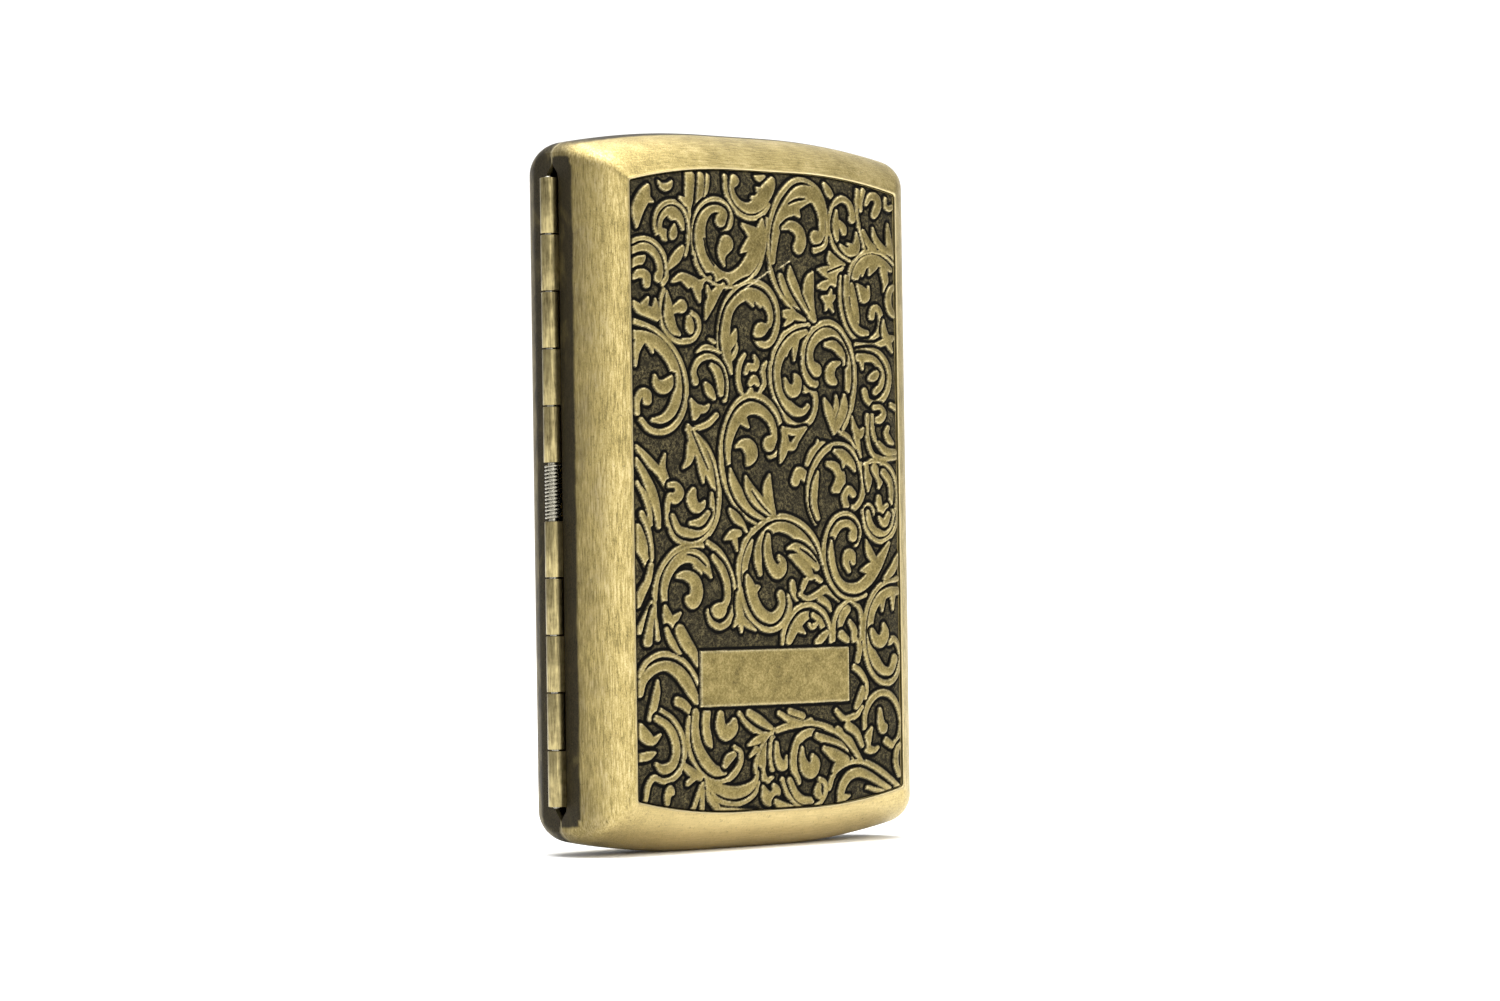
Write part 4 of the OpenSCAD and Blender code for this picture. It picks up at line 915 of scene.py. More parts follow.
    ("cut", [(-14.4, 8.6, .1), (-13.2, 6.4, .16), (-11.6, 3.4, .1)]),
    ("leaf", [(-18.9, -4, .35), (-19, -2, .35), (-18.6, -.4, .4), (-17.6, -.6, .7), (-16.8, .2, .7),
     (-17.4, 1.2, .4), (-18.6, 1.2, .3)]),
    ("leaf", [(-14.2, .5, .35), (-14.6, -.6, .8), (-14, -1.7, .75), (-12.9, -1.8, .5), (-12.2, -1, .1)]),
    ("leaf", [(-18, -3, .3), (-17, -4.8, .5), (-15.2, -5.3, .6), (-13.2, -5, .7), (-11.6, -3.8, .6),
     (-10.9, -2, .4), (-10.9, 0, .2)]),
    ("leaf", [(-14.9, -4, .2), (-13, -3.8, .5), (-11.6, -2.6, .3)]),
    ("leaf", [(4.6, 1.8, .7), (5.2, 2.9, .7), (6.2, 2.6, .7), (6.8, 1.6, .3)]),
    ("leaf", [(6.9, 4.2, .3), (8.2, 5.4, .9), (9.6, 6.6, .6), (11, 7, .15)], [(8.8, 6.2, .5),
     (9, 7.4, .1)]),
    ("leaf", [(2.5, 9, .3), (2.8, 7.4, .6), (2.4, 5.8, .6), (1.9, 4.4, .1)], [(2.8, 6.8, .6),
     (4.2, 6.6, .5), (5, 7.6, .4), (6.8, 9.2, .1)], [(3, 8.8, .4), (4.8, 8.6, .4), (6.6, 9.2, .1)]),
    ("leaf", [(8.4, -4, .3), (7.4, -2, .35), (7.1, .4, .35), (7.7, 2.9, .35), (9.2, 5.1, .35),
     (11.4, 6.6, .35), (13.7, 6.8, .35), (15.8, 5.8, .4), (17.2, 3.8, .4), (17.7, 1.4, .4),
     (17.2, -.6, .35), (16, -1.9, .35), (14.5, -2.1, .45)]),
    ("leaf", [(10.8, 4.2, .3), (12.2, 3.8, .6), (13.2, 2.6, .8), (12.9, 1.2, .9), (11.9, .6, .4)]),
    ("leaf", [(14.2, -1.6, .5), (13.9, -.4, .45), (14.8, .6, .45), (15.6, 0, .5)]),
    ("leaf", [(12.2, 6, .2), (13.8, 5.4, .7), (15.4, 4.2, .5), (16, 3.2, .1)], [(14, 5, .5),
     (13.8, 3.8, .1)]),
    ("leaf", [(8.9, 3, .15), (8.3, 1, .5), (8.1, -1.4, .5), (8.8, -3.4, .3)]),
    ("leaf", [(18.2, 4, .3), (18.6, 2.2, .6), (18.5, .4, .1)]),
    ("leaf", [(19.8, 3.6, .6), (20.8, 2, .5), (20.6, .8, .1)]),
    ("leaf", [(21.6, 3, .5), (22.8, 1.6, .5), (23, -.4, .4), (22.6, -2.4, .3)]),
    ("leaf", [(20.6, -.6, .4), (20.6, -1.8, .6), (21.4, -2.4, .6), (22.2, -1.6, .2)]),
    ("leaf", [(17.7, -3.6, .3), (17.8, -2.4, .35), (18.6, -1.7, .35), (19.3, -2.4, .4),
     (18.8, -3.4, .45)]),
    ("leaf", [(20.8, 7, .4), (22.2, 6, .5), (24.2, 5.9, .3)]),
    ("leaf", [(15.6, 10.8, .1), (16.2, 9, .5), (17, 8.4, .6), (17.8, 9.2, .1)], [(16.4, 8, .5),
     (16.8, 6.4, .3), (17.2, 5.2, .1)]),
    ("leaf", [(-24.5, -4.6, .5), (-24, -6.6, .9), (-23.2, -8.4, .5), (-22.6, -10, .3)]),
    ("leaf", [(-22, -9.6, .3), (-22.6, -11.6, .4), (-24, -13.6, .5), (-24.6, -15, .3)]),
    ("leaf", [(-24.2, -18.4, .5), (-23, -16.6, .4), (-22, -14.8, .3)]),
    ("leaf", [(-22.8, -20, .6), (-22.3, -17.6, .4), (-21.8, -15.6, .2)]),
    ("leaf", [(-11.8, -6.6, .3), (-9.8, -7.9, .4), (-8.2, -9.9, .4), (-7.2, -12.4, .4), (-7, -15, .4),
     (-7.9, -17.2, .4), (-9.6, -18.2, .4), (-11.2, -17.6, .4), (-11.7, -16.2, .45)]),
    ("leaf", [(-10.8, -8.6, .3), (-9.3, -10.2, .5), (-8.4, -12.2, .5), (-8.3, -14.2, .45),
     (-9, -15.4, .5), (-9.8, -16, 1), (-10.6, -15.9, .6)]),
    ("leaf", [(-19.6, -15.4, .3), (-19.8, -13, .5), (-19, -10.8, .6), (-17.2, -9, .7), (-15, -8.4, .9),
     (-13, -9.2, 1), (-11.9, -10.4, .5), (-11.2, -11.4, .1)], [(-13.6, -9.6, .8), (-13.1, -11.2, .1)]),
    ("cut", [(-15.6, -8.2, .1), (-13.8, -8.6, .16), (-12.2, -9.8, .1)]),
    ("leaf", [(-17.4, -11.2, .2), (-15.8, -11.1, .6), (-14.3, -11.9, .9), (-13.9, -13.4, 1),
     (-14.6, -14.6, 1), (-15.5, -14.4, .5)]),
    ("leaf", [(-19.6, -15.4, .3), (-19.1, -17, .8), (-18.2, -18.6, .9), (-16.9, -19.8, .7),
     (-15.2, -20.6, .4)], [(-18.2, -17.2, .6), (-16.9, -16.2, .1)]),
    ("leaf", [(-5.2, -12, .3), (-5, -9.6, .5), (-4.2, -7.6, .4), (-3.6, -6.4, .1)]),
    ("leaf", [(-2.2, -11, .3), (-2.6, -9, .6), (-2.1, -7, .7), (-.8, -5.4, .6), (1, -4.6, .6),
     (3, -4.8, .7), (5, -5.8, .8), (6.8, -7.4, .8), (8.4, -9.4, .5)]),
    ("leaf", [(-.6, -5.8, .3), (-.8, -7.4, .6), (-.4, -9.4, .7), (.8, -10.8, .9), (1.8, -10.4, .8),
     (2, -9.4, .5), (1.4, -8.8, .3)]),
    ("leaf", [(3, -7.6, .1), (4.6, -7.4, .5), (6.6, -8.6, .8), (8.4, -10.2, .5)], [(3.4, -8.6, .1),
     (5, -9.2, .7), (6.6, -10.6, .7), (7.4, -11.6, .4)]),
    ("cut", [(5.3, -7.6, .12), (7, -8.5, .2), (8.3, -9.5, .1)]),
    ("leaf", [(-4.6, -11.4, .3), (-4, -13, .8), (-3.4, -14.8, .8), (-2.2, -16.4, .8), (-.4, -17.2, .7),
     (1, -16.6, .6), (1.8, -15.2, .5), (1.6, -14, .6)], [(-3.4, -13.2, .6), (-2.4, -12.8, .1)]),
    ("leaf", [(-7.6, -2.2, .2), (-6.6, -3.2, .6), (-5.4, -4.2, .4), (-4.6, -5.2, .1)]),
    ("leaf", [(-8.6, -6.2, .1), (-7.2, -5.6, .6), (-6, -5.4, .4)], [(-6.8, -6.4, .4), (-6.4, -7.8, .1)]),
    ("leaf", [(-6.4, -13.6, .15), (-6.3, -15.4, .5), (-6, -17, .6), (-5.8, -19, .1)], [(-7.2, -18.2, .1),
     (-6.2, -17.2, .5), (-4.6, -18, .4), (-3.2, -18.8, .1)]),
    ("leaf", [(3.8, -12.4, .4), (4, -13.6, .5), (4.6, -14.6, .3)]),
    ("leaf", [(5.2, -14, .25), (6.6, -14.6, .3), (8.6, -14, .4), (10, -13.4, .5), (11.4, -14, .4),
     (12.6, -14.9, .2)], [(9, -14.6, .5), (10.4, -15.4, .4), (11, -16.4, .1)]),
    ("leaf", [(15.9, -6.9, .5), (16.6, -5.6, .4), (16.2, -4.1, .4), (15, -3.1, .4), (13.4, -3, .4),
     (11.7, -3.9, .4), (10.4, -5.8, .35), (9.8, -8.2, .35), (10.2, -10.6, .35), (11.4, -12.8, .35),
     (13.2, -14.2, .35), (15.4, -14.7, .35), (17.6, -14.2, .35)]),
    ("leaf", [(15.4, -6, .7), (15.6, -5, .5), (14.6, -4.2, .45), (13, -4.4, .5), (11.8, -5.6, .5),
     (11.2, -7.2, .4)]),
    ("leaf", [(11.3, -6.6, .1), (11.2, -8.4, .5), (11.6, -10.4, .5), (12.6, -12.2, .5), (14.2, -13.2, .6),
     (16.4, -13.2, .7), (18.4, -12, .8), (20, -10.2, .8), (21.4, -8.4, .5), (22.4, -7, .2)],
     [(18, -6.6, .1), (18.6, -8.2, .6), (19.6, -9.6, .5)], [(17, -10.8, .1), (18.4, -10.6, .6),
     (19.6, -9.8, .4)]),
    ("leaf", [(14.6, -10.8, .3), (14, -9.6, .5), (14.4, -8.6, .7), (15.2, -8.6, .6), (15.4, -9.6, .4)]),
    ("leaf", [(18.4, -2.6, .3), (18.8, -4.2, .5), (20, -5.4, .5), (21.6, -5.4, .5), (22.8, -4.2, .5),
     (23.2, -2.6, .4)]),
    ("leaf", [(20.6, -3.4, .2), (21.6, -4.2, .5), (22.4, -3, .4)]),
    ("leaf", [(24.5, -13.8, .5), (22.4, -13.9, .6), (20.4, -14.8, .6), (19, -16.6, .5), (18.5, -19, .5),
     (18.6, -21.8, .6), (19.6, -23.8, .8), (21, -25, .6), (22.4, -25, .5), (23.2, -23.4, .6)],
     [(21, -14.6, .6), (20.9, -16.6, .1)], [(23, -14, .6), (23, -16.4, .1)]),
    ("leaf", [(18.9, -19.4, .4), (19.6, -20.6, .7), (20.6, -20.9, .8), (21.4, -19.8, .7),
     (21.2, -18.6, .3)]),
    ("leaf", [(24.4, -8.4, .1), (23.8, -9.6, .5), (23, -10.8, .6), (21.6, -12, .3)]),
    ("leaf", [(3, -20.4, .5), (4, -18.8, .7), (5.4, -17.4, .7), (7, -16.8, .4)], [(4.8, -18.6, .6),
     (6, -19.4, .1)]),
    ("leaf", [(7.6, -16.9, .3), (8.9, -17.8, .4), (9.6, -19.4, .4), (9.4, -20.8, .5)]),
    ("leaf", [(8.4, -20.8, .5), (9.4, -20, .5), (10.2, -19.4, .3)]),
    ("leaf", [(12.6, -19, .2), (13.2, -17.2, .6), (14.2, -16.2, .5)]),
    ("leaf", [(13, -19.8, .6), (14.2, -20.6, .4)]),
    ("leaf", [(14.6, -18, .3), (15.4, -19.2, .5), (15.3, -20.6, .3)]),
    ("leaf", [(-24.5, -27, .4), (-23.8, -25.2, .5), (-22, -23.8, .6), (-19.8, -23.3, .6),
     (-17.8, -24, .8), (-16.2, -25.4, .9), (-14.9, -27.2, .7), (-14, -28.8, .3)]),
    ("leaf", [(-21.2, -25.4, .2), (-21.4, -27, .5), (-22, -29, .5), (-22.6, -30.4, .3)]),
    ("leaf", [(-17.6, -28.2, .6), (-16.6, -28.6, .6), (-15.6, -29.4, .5)]),
    ("leaf", [(-19.4, -18.4, .3), (-18.6, -20, .5), (-17.2, -21.2, .6)]),
    ("leaf", [(-17, -18.6, .8), (-16, -20.2, .9), (-14.8, -21.6, .7), (-13.8, -23.4, .3)]),
    ("leaf", [(-21.4, -30.4, .4), (-19.6, -31.4, .5), (-18.4, -33, .6), (-18, -35, .6),
     (-18.8, -36.8, .6), (-20.4, -37.3, .6), (-21.6, -36.6, .2)]),
    ("leaf", [(-24.6, -31.6, .6), (-23.4, -32.8, .8), (-22.2, -33.4, .5), (-20.8, -32.6, .1)]),
    ("leaf", [(-24.6, -35.6, .5), (-23, -35.4, .5), (-21.8, -35, .1)]),
    ("leaf", [(-19.6, -42, .3), (-19.6, -41, .5), (-19.2, -40.2, .6), (-18.8, -40.6, .3)]),
    ("leaf", [(-16.6, -37, .4), (-15.2, -38, .6), (-13.8, -38.6, .5)], [(-16, -39.4, .3),
     (-14.8, -38.6, .4)]),
    ("leaf", [(-14.4, -29.8, .5), (-14.6, -32, .6), (-14.2, -34.2, .7), (-13, -36.2, .8),
     (-11.2, -37.8, .7), (-9.4, -38, .5)]),
    ("leaf", [(-12.4, -29.8, .6), (-12.6, -31.6, .6), (-12.2, -33.6, .6), (-11.6, -34.6, .1)]),
    ("leaf", [(-7.6, -35.8, .4), (-8.6, -36.4, .6), (-9.2, -37.2, .4)]),
    ("leaf", [(-9.9, -30.2, .5), (-9.9, -31.8, .8), (-9, -32.8, 1), (-7.8, -32.2, .9),
     (-7.4, -31.2, .4)]),
    ("leaf", [(-4.6, -30.2, .5), (-2.8, -31.2, .6), (-.6, -32.4, .3)]),
    ("leaf", [(-4.8, -34.6, .1), (-3.2, -34, .5), (-1.8, -33.6, .4)], [(-4.6, -36.2, .1),
     (-3.4, -35.2, .4)]),
    ("leaf", [(-.6, -33.8, .3), (-2, -36, .6), (-2.5, -38.2, .6), (-1.6, -39.6, .4), (-.4, -39.2, .15)]),
    ("leaf", [(-.3, -34, .5), (-.6, -36, .5), (-.4, -38, .4)]),
    ("leaf", [(.4, -34.6, .3), (.5, -36.4, .5), (1.2, -37.6, .7), (2.2, -37.4, .5), (2.3, -36.6, .3)]),
    ("leaf", [(-2.2, -40.6, .3), (-1.6, -41.8, .8), (-.6, -42.2, .9), (.2, -41.2, .7), (-.2, -40.4, .3)]),
    ("leaf", [(-12.4, -39.4, .5), (-10.4, -40.4, .7), (-8, -41, .8), (-5.6, -40.8, .7), (-3.8, -39.8, .4),
     (-3.2, -38.4, .2)]),
    ("leaf", [(.2, -42.6, .3), (1.2, -43.2, .5), (3, -43.8, .5)]),
    ("leaf", [(8.6, -33.4, .4), (6.4, -33.3, .5), (4.6, -34.2, .6), (3.7, -36, .6), (3.6, -38, .6),
     (4.4, -40, .4)]),
    ("leaf", [(8, -33.8, .4), (10.2, -34.6, .6), (12.6, -35.6, .7), (14.8, -37, .6), (16.2, -38.2, .3)]),
    ("leaf", [(9.4, -35.6, .3), (11.4, -36.6, .8), (13.4, -37.4, .7)], [(11, -38.8, .2), (12, -38, .6),
     (13.4, -37.7, .4)]),
    ("leaf", [(5.2, -35.4, .2), (5.2, -36.8, .5), (5.8, -38.2, .9), (6.9, -38.6, 1), (7.6, -37.6, .8),
     (7.2, -36.6, .3)]),
    ("leaf", [(2.8, -39.8, .4), (3.8, -41.6, .5), (5.2, -42.6, .5), (7, -42.8, .4)]),
    ("leaf", [(8.2, -40.8, .4), (8, -41.6, .6), (8.4, -42.2, .4)]),
    ("leaf", [(12.4, -43.2, .5), (12.6, -41.4, .6), (13.8, -39.8, .6), (15.8, -39.2, .6), (18, -39.8, .5),
     (20, -40.8, .4), (22, -41.8, .3)], [(12.9, -42.8, .6), (14.2, -42.4, .1)]),
    ("leaf", [(16.9, -27.4, .3), (16.4, -28.8, .5), (15.6, -30, .3)]),
    ("leaf", [(17.2, -33, .3), (17.3, -31, .35), (18.4, -29.2, .4), (20.2, -28.2, .4), (22.2, -28.5, .4),
     (23.7, -30.2, .4), (24.3, -32.4, .4), (23.8, -34.6, .4), (22.6, -35.6, .45), (21.4, -35, .5)]),
    ("leaf", [(20.2, -30.6, .3), (20.3, -32, .5), (20.7, -33.2, .7), (21.2, -32.8, .3)]),
    ("leaf", [(18.6, -33, .1), (17.8, -34.4, .6), (17.6, -35.8, .6), (18.8, -36.2, .4),
     (19.8, -35.8, .1)]),
    ("leaf", [(12, -33, .4), (13.8, -34.2, .5), (15.2, -36, .4), (16.4, -37.6, .3)]),
    ("leaf", [(14, -32.6, .6), (15.6, -33.6, .5), (16.6, -35.4, .3)]),
    ("leaf", [(24.4, -35.4, .3), (23.4, -36.4, .4), (23.2, -38.2, .5), (23.8, -39.8, .4)]),
]

# Scratches that show bare metal
SCRATCHES = [
    [(-4.9, 27.6, .03), (-2.3, 29.1, .06), (.2, 30.5, .03)],
    [(2, 30.9, .03), (3.9, 31.9, .05)],
]

# The floor bows out in front of its rim's plane, and the camera sees it from this far round, so a stroke
# there is read too far over. The shift is what the readings are off by as a whole, as measured on a render.
READ_FROM_DEG = 41.6
READ_SHIFT = (0.35, -0.5)

# The relief is drawn on a grid over the panel. SOFT is how far an edge slopes to either side, SPREAD is how
# much farther out each stroke's edge lies than it was read, and FAR stands for no stroke nearby.
CELL = 0.16
RELIEF_DEPTH = 0.42
OUTLINE_W = 0.39
SOFT = 0.12
FAR = 9.0
SPREAD = 0.13


def panel_grid(cell):
    """The x and the z of points over the panel, in rows that follow its bowed ends."""
    nx = int(round(2 * PANEL_W / cell)) + 1
    nz = int(round(2 * PANEL_H / cell)) + 1
    x = np.linspace(-PANEL_W, PANEL_W, nx)
    edge = end_z(x, 1.0)
    v = np.linspace(-1, 1, nz)
    gx = np.repeat(x[:, None], nz, 1)
    gz = edge[:, None] * v[None, :]
    return gx, gz


def curve_points(points, step=0.12):
    """A Catmull-Rom curve through (x, z, half width) points, sampled evenly."""
    p = np.asarray(points, float)
    ext = np.vstack([2 * p[0] - p[1], p, 2 * p[-1] - p[-2]])
    out = []
    for i in range(1, len(ext) - 2):
        a, b, c, d = ext[i - 1:i + 3]
        n = max(2, int(np.hypot(*(c - b)[:2]) / step))
        s = np.linspace(0, 1, n, endpoint=False)[:, None]
        out.append(0.5 * (2 * b + (c - a) * s + (2 * a - 5 * b + 4 * c - d) * s ** 2
                          + (3 * b - a - 3 * c + d) * s ** 3))
    out.append(p[-1:])
    q = np.vstack(out)
    q[:, 2] = np.maximum(q[:, 2], 0.02)
    return q


def placed(points):
    """A stroke's points moved from where they were read to where they lie on the panel."""
    p = np.array(points, float)
    x = np.clip(p[:, 0], -PANEL_W, PANEL_W)
    z = np.clip(p[:, 1], -PANEL_H, PANEL_H)
    proud = panel_y(x, z) + RECESS - EDGE_Y
    p[:, 0] += READ_SHIFT[0] - math.tan(math.radians(READ_FROM_DEG)) * proud
    p[:, 1] += READ_SHIFT[1]
    return p


class Carving:
    """A height field over the panel that strokes are raised on and cut into."""

    def __init__(self, gx, gz):
        self.gx = gx
        self.gz = gz
        self.h = np.full(gx.shape, GROUND)
        self.kept = np.zeros(gx.shape)
        self.xs = gx[:, 0]
        self.zs = gz[len(gx) // 2]

    def window(self, q, margin):
        """Index ranges of the cells near a sampled curve."""
        reach = q[:, 2].max() + margin
        slack = PANEL_BOW + 0.2
        i0 = np.searchsorted(self.xs, q[:, 0].min() - reach)
        i1 = np.searchsorted(self.xs, q[:, 0].max() + reach)
        j0 = np.searchsorted(self.zs, q[:, 1].min() - reach - slack)
        j1 = np.searchsorted(self.zs, q[:, 1].max() + reach + slack)
        return slice(i0, i1), slice(j0, j1)

    def distance(self, points, margin):
        """On a window: distance outside a stroke's edge, less than 0 inside."""
        q = curve_points(points)
        w = self.window(q, margin)
        x = self.gx[w].ravel()
        z = self.gz[w].ravel()
        d = np.hypot(x[:, None] - q[:, 0], z[:, None] - q[:, 1]) - q[:, 2]
        return w, d.min(1).reshape(self.gx[w].shape)

    def raise_strokes(self, strokes):
        """Raises strokes together, with one cut outline round them that spares the middle of the stems."""
        reach = np.full(self.gx.shape, FAR)
        for points in strokes:
            w, d = self.distance(points, 1.0)
            reach[w] = np.minimum(reach[w], d - SPREAD)
        moat = smooth(reach, OUTLINE_W + 0.16, OUTLINE_W - 0.08) * (1 - self.kept)
        dome = 0.9 + 0.1 * smooth(-reach, 0.1, 0.6)
        self.h = np.maximum(self.h * (1 - moat), dome * smooth(reach, SOFT, -SOFT))
        return reach

    def cut_line(self, points):
        """Cuts a thin line into what is already raised."""
        w, d = self.distance(points, 0.6)
        self.h[w] *= 1 - 0.9 * smooth(d, SOFT, -SOFT)

    def raise_plate(self):
        """The blank nameplate, with a narrow cut all round."""
        dx = np.abs(self.gx) - PLATE_HALF[0]
        dz = np.abs(self.gz - PLATE_Z) - PLATE_HALF[1]
        d = np.maximum(dx, dz)
        self.h = np.maximum(self.h * (1 - smooth(d, 0.55, 0.3)), smooth(d, 0.1, -0.1))

    def draw(self):
        reach = self.raise_strokes([placed(stem) for stem in STEMS])
        self.kept = smooth(-reach, 0.1, 0.26)
        for kind, *readings in LEAVES:
            strokes = [placed(stroke) for stroke in readings]
            if kind == "cut":
                self.cut_line(strokes[0])
            else:
                self.raise_strokes(strokes)
        self.raise_plate()
        inward = np.minimum(PANEL_W - np.abs(self.gx), end_z(self.gx, 1.0) - np.abs(self.gz))
        self.h *= smooth(inward, 0.12, 0.42)


def panel_y(x, z):
    """The panel's floor: the shoulder's curve near its edges, then a low crown."""
    tx = (HALF_W - np.abs(x)) / BORDER_W
    tz = 1 + (end_z(x, 1.0) - np.abs(z)) / (HALF_H - PANEL_H)
    t = np.minimum(tx, tz)
    inset_by = np.clip(t * BORDER_W, BORDER_W, SHOULDER_R)
    rise = np.sqrt(SHOULDER_R ** 2 - (SHOULDER_R - inset_by) ** 2)
    crown = CROWN * (1 - (x / PANEL_W) ** 2) * (1 - (z / end_z(x, 1.0)) ** 2)
    return SEAM_WALL + rise - RECESS + crown


def blurred(h, times):
    """Heights evened out with their four neighbours, times over."""
    for _ in range(times):
        p = np.pad(h, 1, mode="edge")
        h = (p[:-2, 1:-1] + p[2:, 1:-1] + p[1:-1, :-2] + p[1:-1, 2:] + h) / 5
    return h


def relief_piece(name, body, side, cell):
    """The decorated panel of one half, as a closed thin body."""
    gx, gz = panel_grid(cell)
    carving = Carving(gx, gz)
    carving.draw()
    h = carving.h
    nx, nz = gx.shape
    y = panel_y(gx, gz) + RELIEF_DEPTH * (h - GROUND)
    top = np.stack([gx, side * y, gz], -1).reshape(-1, 3)
    index = np.arange(nx * nz).reshape(nx, nz)
    quads = np.stack([index[:-1, :-1], index[1:, :-1], index[1:, 1:], index[:-1, 1:]], -1).reshape(-1, 4)
    faces = quads.tolist()
    loop = np.concatenate([index[:, 0], index[-1, 1:], index[-2::-1, -1], index[0, -2:0:-1]])
    n = len(loop)
    skirt = top[loop].copy()
    skirt[:, 1] = side * (panel_y(skirt[:, 0], skirt[:, 2]) - 0.13)
    base = len(top)
    for i in range(n):
        j = (i + 1) % n
        faces.append((loop[i], base + i, base + j, loop[j]))
        faces.append((base + i, base + n, base + j))
    if side > 0:
        faces = [f[::-1] for f in faces]
    verts = np.vstack([top, skirt, [[0, side * (SEAM_WALL + SHOULDER_R - RECESS - 0.2), 0]]])
    # painted highlight on the edges of the raised tops, partly real rubbed wear; the scratches below are real
    # bare metal
    wear_and_highlight = np.clip((h - blurred(h, 3)) * 3, 0, 1) * smooth(h, 0.7, 0.95)
    for points in SCRATCHES:
        w, d = carving.distance(points, 0.5)
        wear_and_highlight[w] = np.maximum(wear_and_highlight[w], 1.6 * smooth(d, 0.1, -0.02))
    pad = np.zeros(n + 1)
    hollow = np.clip(blurred(h, 5) - h, 0, 1) * smooth(h, 0.6, 0.35)
    values = {
        "relief": np.concatenate([(h - 0.75 * hollow).ravel(), pad]),
        "wear_and_highlight": np.concatenate([wear_and_highlight.ravel(), pad]),
    }
    return make_mesh(name, verts, faces, body, RELIEF, (), 60, values)


relief_piece("front_panel", "lid", -1, CELL)
relief_piece("back_panel", "back", 1, CELL * 1.4)


# ---------------------------------------------------------------- hinge

LEAF_LOW, LEAF_HIGH = box_mm("back_hinge_leaf")
ROW_HALF = LEAF_HIGH[2]
KNUCKLE_R = HINGE_X - LEAF_LOW[0]
LEAF_T = 0.5
PITCH = 2 * ROW_HALF / 11
KNUCKLE_GAP = 0.2
PIN_R = 0.6
BACK_SLOTS = (0, 2, 4, 7, 9)
FRONT_SLOTS = (1, 3, 6, 8, 10)
SPRING_SLOT = 5


def slot_centre(i):
    return ROW_HALF - (i + 0.5) * PITCH


def rolled_profile():
    """A knuckle's end view, drawn for the back half: flat sheet that rolls round the pin to a small gap."""
    inner_x = LEAF_HIGH[0]
    bore = PIN_R + 0.04
    outer = arc(HINGE_X, 0, KNUCKLE_R, 90, 395, 34)
    inner = arc(HINGE_X, 0, bore, 395, 90, 26)
    return np.vstack([
        [[inner_x, SLOT_HALF + 0.45], [inner_x - LEAF_T, SLOT_HALF + 0.45]],
        [[inner_x - LEAF_T, KNUCKLE_R + 0.22], [inner_x - LEAF_T - 0.22, KNUCKLE_R]],
        outer,
        inner,
        [[inner_x - 0.4, bore], [inner_x, bore + 0.4]],
    ])


def hinge_leaf(name, node, body, side, slots):
    """One leaf: its rolled knuckles and the flat strip inside the shell."""
    high = box_mm(node)[1]
    parts = []
    half = (PITCH - KNUCKLE_GAP) / 2
    profile = rolled_profile() * [1, side]
    for i in slots:
        z = slot_centre(i)
        parts.append(extruded(profile, z - half, z + half, 0.11, along_z))
    strip = rounded_rect(3.6 - SLOT_HALF, 2 * ROW_HALF, 0.3, 3) + [(3.6 + SLOT_HALF) / 2 * side, 0]
    parts.append(extruded(strip, high[0] - LEAF_T, high[0], 0.08, along_x))
    v, f = joined(parts)
    return make_mesh(name, v, f, body, LEAF, [node], 35)


hinge_leaf("back_leaf", "back_hinge_leaf", "back", 1, BACK_SLOTS)
hinge_leaf("front_leaf", "front_hinge_leaf", "lid", -1, FRONT_SLOTS)


def lathe(profile, cx, cy, place, sides=32):
    """A turned piece from (radius, height) points, closed on its axis at both ends."""
    angles = np.linspace(0, 2 * math.pi, sides, endpoint=False)
    rings = [place(cx + r * np.cos(angles), cy + r * np.sin(angles), np.full(sides, h)) for r, h in profile]
    ends = [place(np.array([cx]), np.array([cy]), np.array([profile[k][1]]))[0] for k in (0, -1)]
    return rings_mesh(rings, ends)


def hinge_pin():
    low, high = box_mm("hinge_pin")
    tip_r = PIN_R - 0.15
    profile = [(tip_r, low[2]), (PIN_R, low[2] + 0.12), (PIN_R, high[2] - 0.12), (tip_r, high[2])]
    v, f = lathe(profile, HINGE_X, 0, along_z, 24)
    return make_mesh("pin", v, outward(v, f), "back", STEEL, ["hinge_pin"], 35)


hinge_pin()


def hinge_spring():
    """The middle spring: close turns of round wire, with a leg at each end."""
    wire_r = 0.185
    coil_r = 0.92
    turns = 14.5
    half = PITCH / 2 - 0.3
    centre = slot_centre(SPRING_SLOT)
    n = int(turns * 28)
    a = math.pi / 2 + np.linspace(0, turns * 2 * math.pi, n + 1)
    z = centre + np.linspace(-half, half, n + 1)
    coil = np.stack([HINGE_X + coil_r * np.cos(a), coil_r * np.sin(a), z], 1)
    leg = np.linspace(3.2, 0.25, 8)
    first = np.stack([HINGE_X + leg, np.full(8, coil_r), np.full(8, z[0])], 1)
    last = np.stack([HINGE_X + leg[::-1], np.full(8, -coil_r), np.full(8, z[-1])], 1)
    v, f = swept(np.vstack([first, coil, last]), wire_r, 10)
    return make_mesh("spring", v, outward(v, f), "back", STEEL, ["hinge_spring"], 60)


hinge_spring()

# ---------------------------------------------------------------- trays, pads and bars

TRAY_R = 2.5
TRAY_T = 0.5
PAD_GAP = 0.2
PAD_R = 1.8
PAD_VOXEL = 0.35
LUG_T = 0.8


def quarter(steps=5):
    """(sine, cosine) pairs through a right angle."""
    return [(math.sin(a), math.cos(a)) for a in np.linspace(0, math.pi / 2, steps)]


